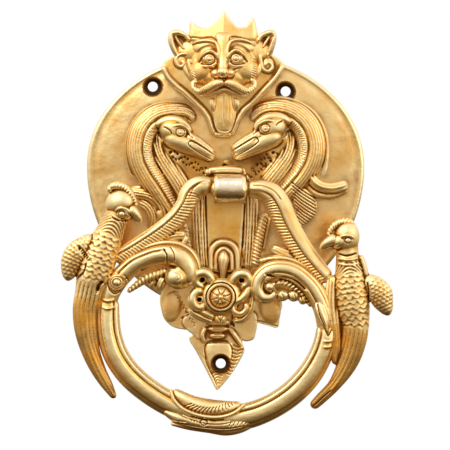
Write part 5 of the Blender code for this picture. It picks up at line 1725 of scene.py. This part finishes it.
def soft_light(name, spot, aim, width, height, watts, colour="FFFFFF"):
    """A soft rectangular lamp at spot, turned towards aim, in metres."""
    bpy.ops.object.light_add(type="AREA", location=spot)
    lamp = bpy.context.object
    lamp.name = name
    lamp.data.shape = "RECTANGLE"
    lamp.data.size, lamp.data.size_y = width, height
    lamp.data.energy = watts
    lamp.data.color = tone(colour)[:3]
    away = Vector(aim) - Vector(spot)
    lamp.rotation_euler = away.to_track_quat("-Z", "Y").to_euler()


soft_light("key_above_left", (-0.7, -0.9, 1.0), (0, 0, -0.03), 1.3, 1.1, 9)
soft_light("fill_right", (1.2, -0.9, 0.35), (0, 0, -0.03), 0.8, 1.2, 3)

world = bpy.data.worlds.new("studio_air")
bpy.context.scene.world = world
world.use_nodes = True
sky = world.node_tree
sky.nodes.clear()
direction = add(sky, "ShaderNodeTexCoord").outputs["Generated"]
parts = add(sky, "ShaderNodeSeparateXYZ", {"Vector": direction}).outputs
height = add(sky, "ShaderNodeMapRange", {"Value": parts["Z"], 1: -1.0, 2: 1.0}).outputs["Result"]
air_tones = ((0.1, "4A3418"), (0.36, "9A8560"), (0.5, "E6E0D6"), (0.72, "FFFFFF"))
shade = add(sky, "ShaderNodeValToRGB", {"Fac": height}, air_tones).outputs["Color"]
# dark edges of the screens that stand beside the camera
sideways = add(sky, "ShaderNodeMapRange", {"Value": parts["X"], 1: -0.5, 2: 0.5}).outputs["Result"]
left_screen = ((0.0, "FFFFFF"), (0.2, "FFFFFF"), (0.255, "4E473C"), (0.3, "FFFFFF"), (0.42, "EAE6DE"))
right_screen = ((0.58, "EAE6DE"), (0.7, "FFFFFF"), (0.735, "6E675C"), (0.77, "FFFFFF"))
both_screens = (*left_screen, *right_screen)
screens = add(sky, "ShaderNodeValToRGB", {"Fac": sideways}, both_screens).outputs["Color"]
shade = add(
    sky, "ShaderNodeMix", {"Factor": 1.0, "A": shade, "B": screens}, data_type="RGBA", blend_type="MULTIPLY"
).outputs["Result"]
studio = add(sky, "ShaderNodeBackground", {"Color": shade, "Strength": 1.1}).outputs[0]
white = add(sky, "ShaderNodeBackground", {"Color": (1, 1, 1, 1), "Strength": 1.0}).outputs[0]
seen = add(sky, "ShaderNodeLightPath").outputs["Is Camera Ray"]
both = add(sky, "ShaderNodeMixShader", {0: seen, 1: studio, 2: white}).outputs[0]
add(sky, "ShaderNodeOutputWorld", {"Surface": both})

CAMERA_AWAY = 2.0
VIEW_WIDTH = 0.243
bpy.ops.object.camera_add(location=(-0.0003, -CAMERA_AWAY, -0.0319), rotation=(math.radians(90), 0, 0))
camera = bpy.context.object
camera.data.sensor_width = 36.0
camera.data.lens = 36.0 * (CAMERA_AWAY - 0.012) / VIEW_WIDTH
bpy.context.scene.camera = camera
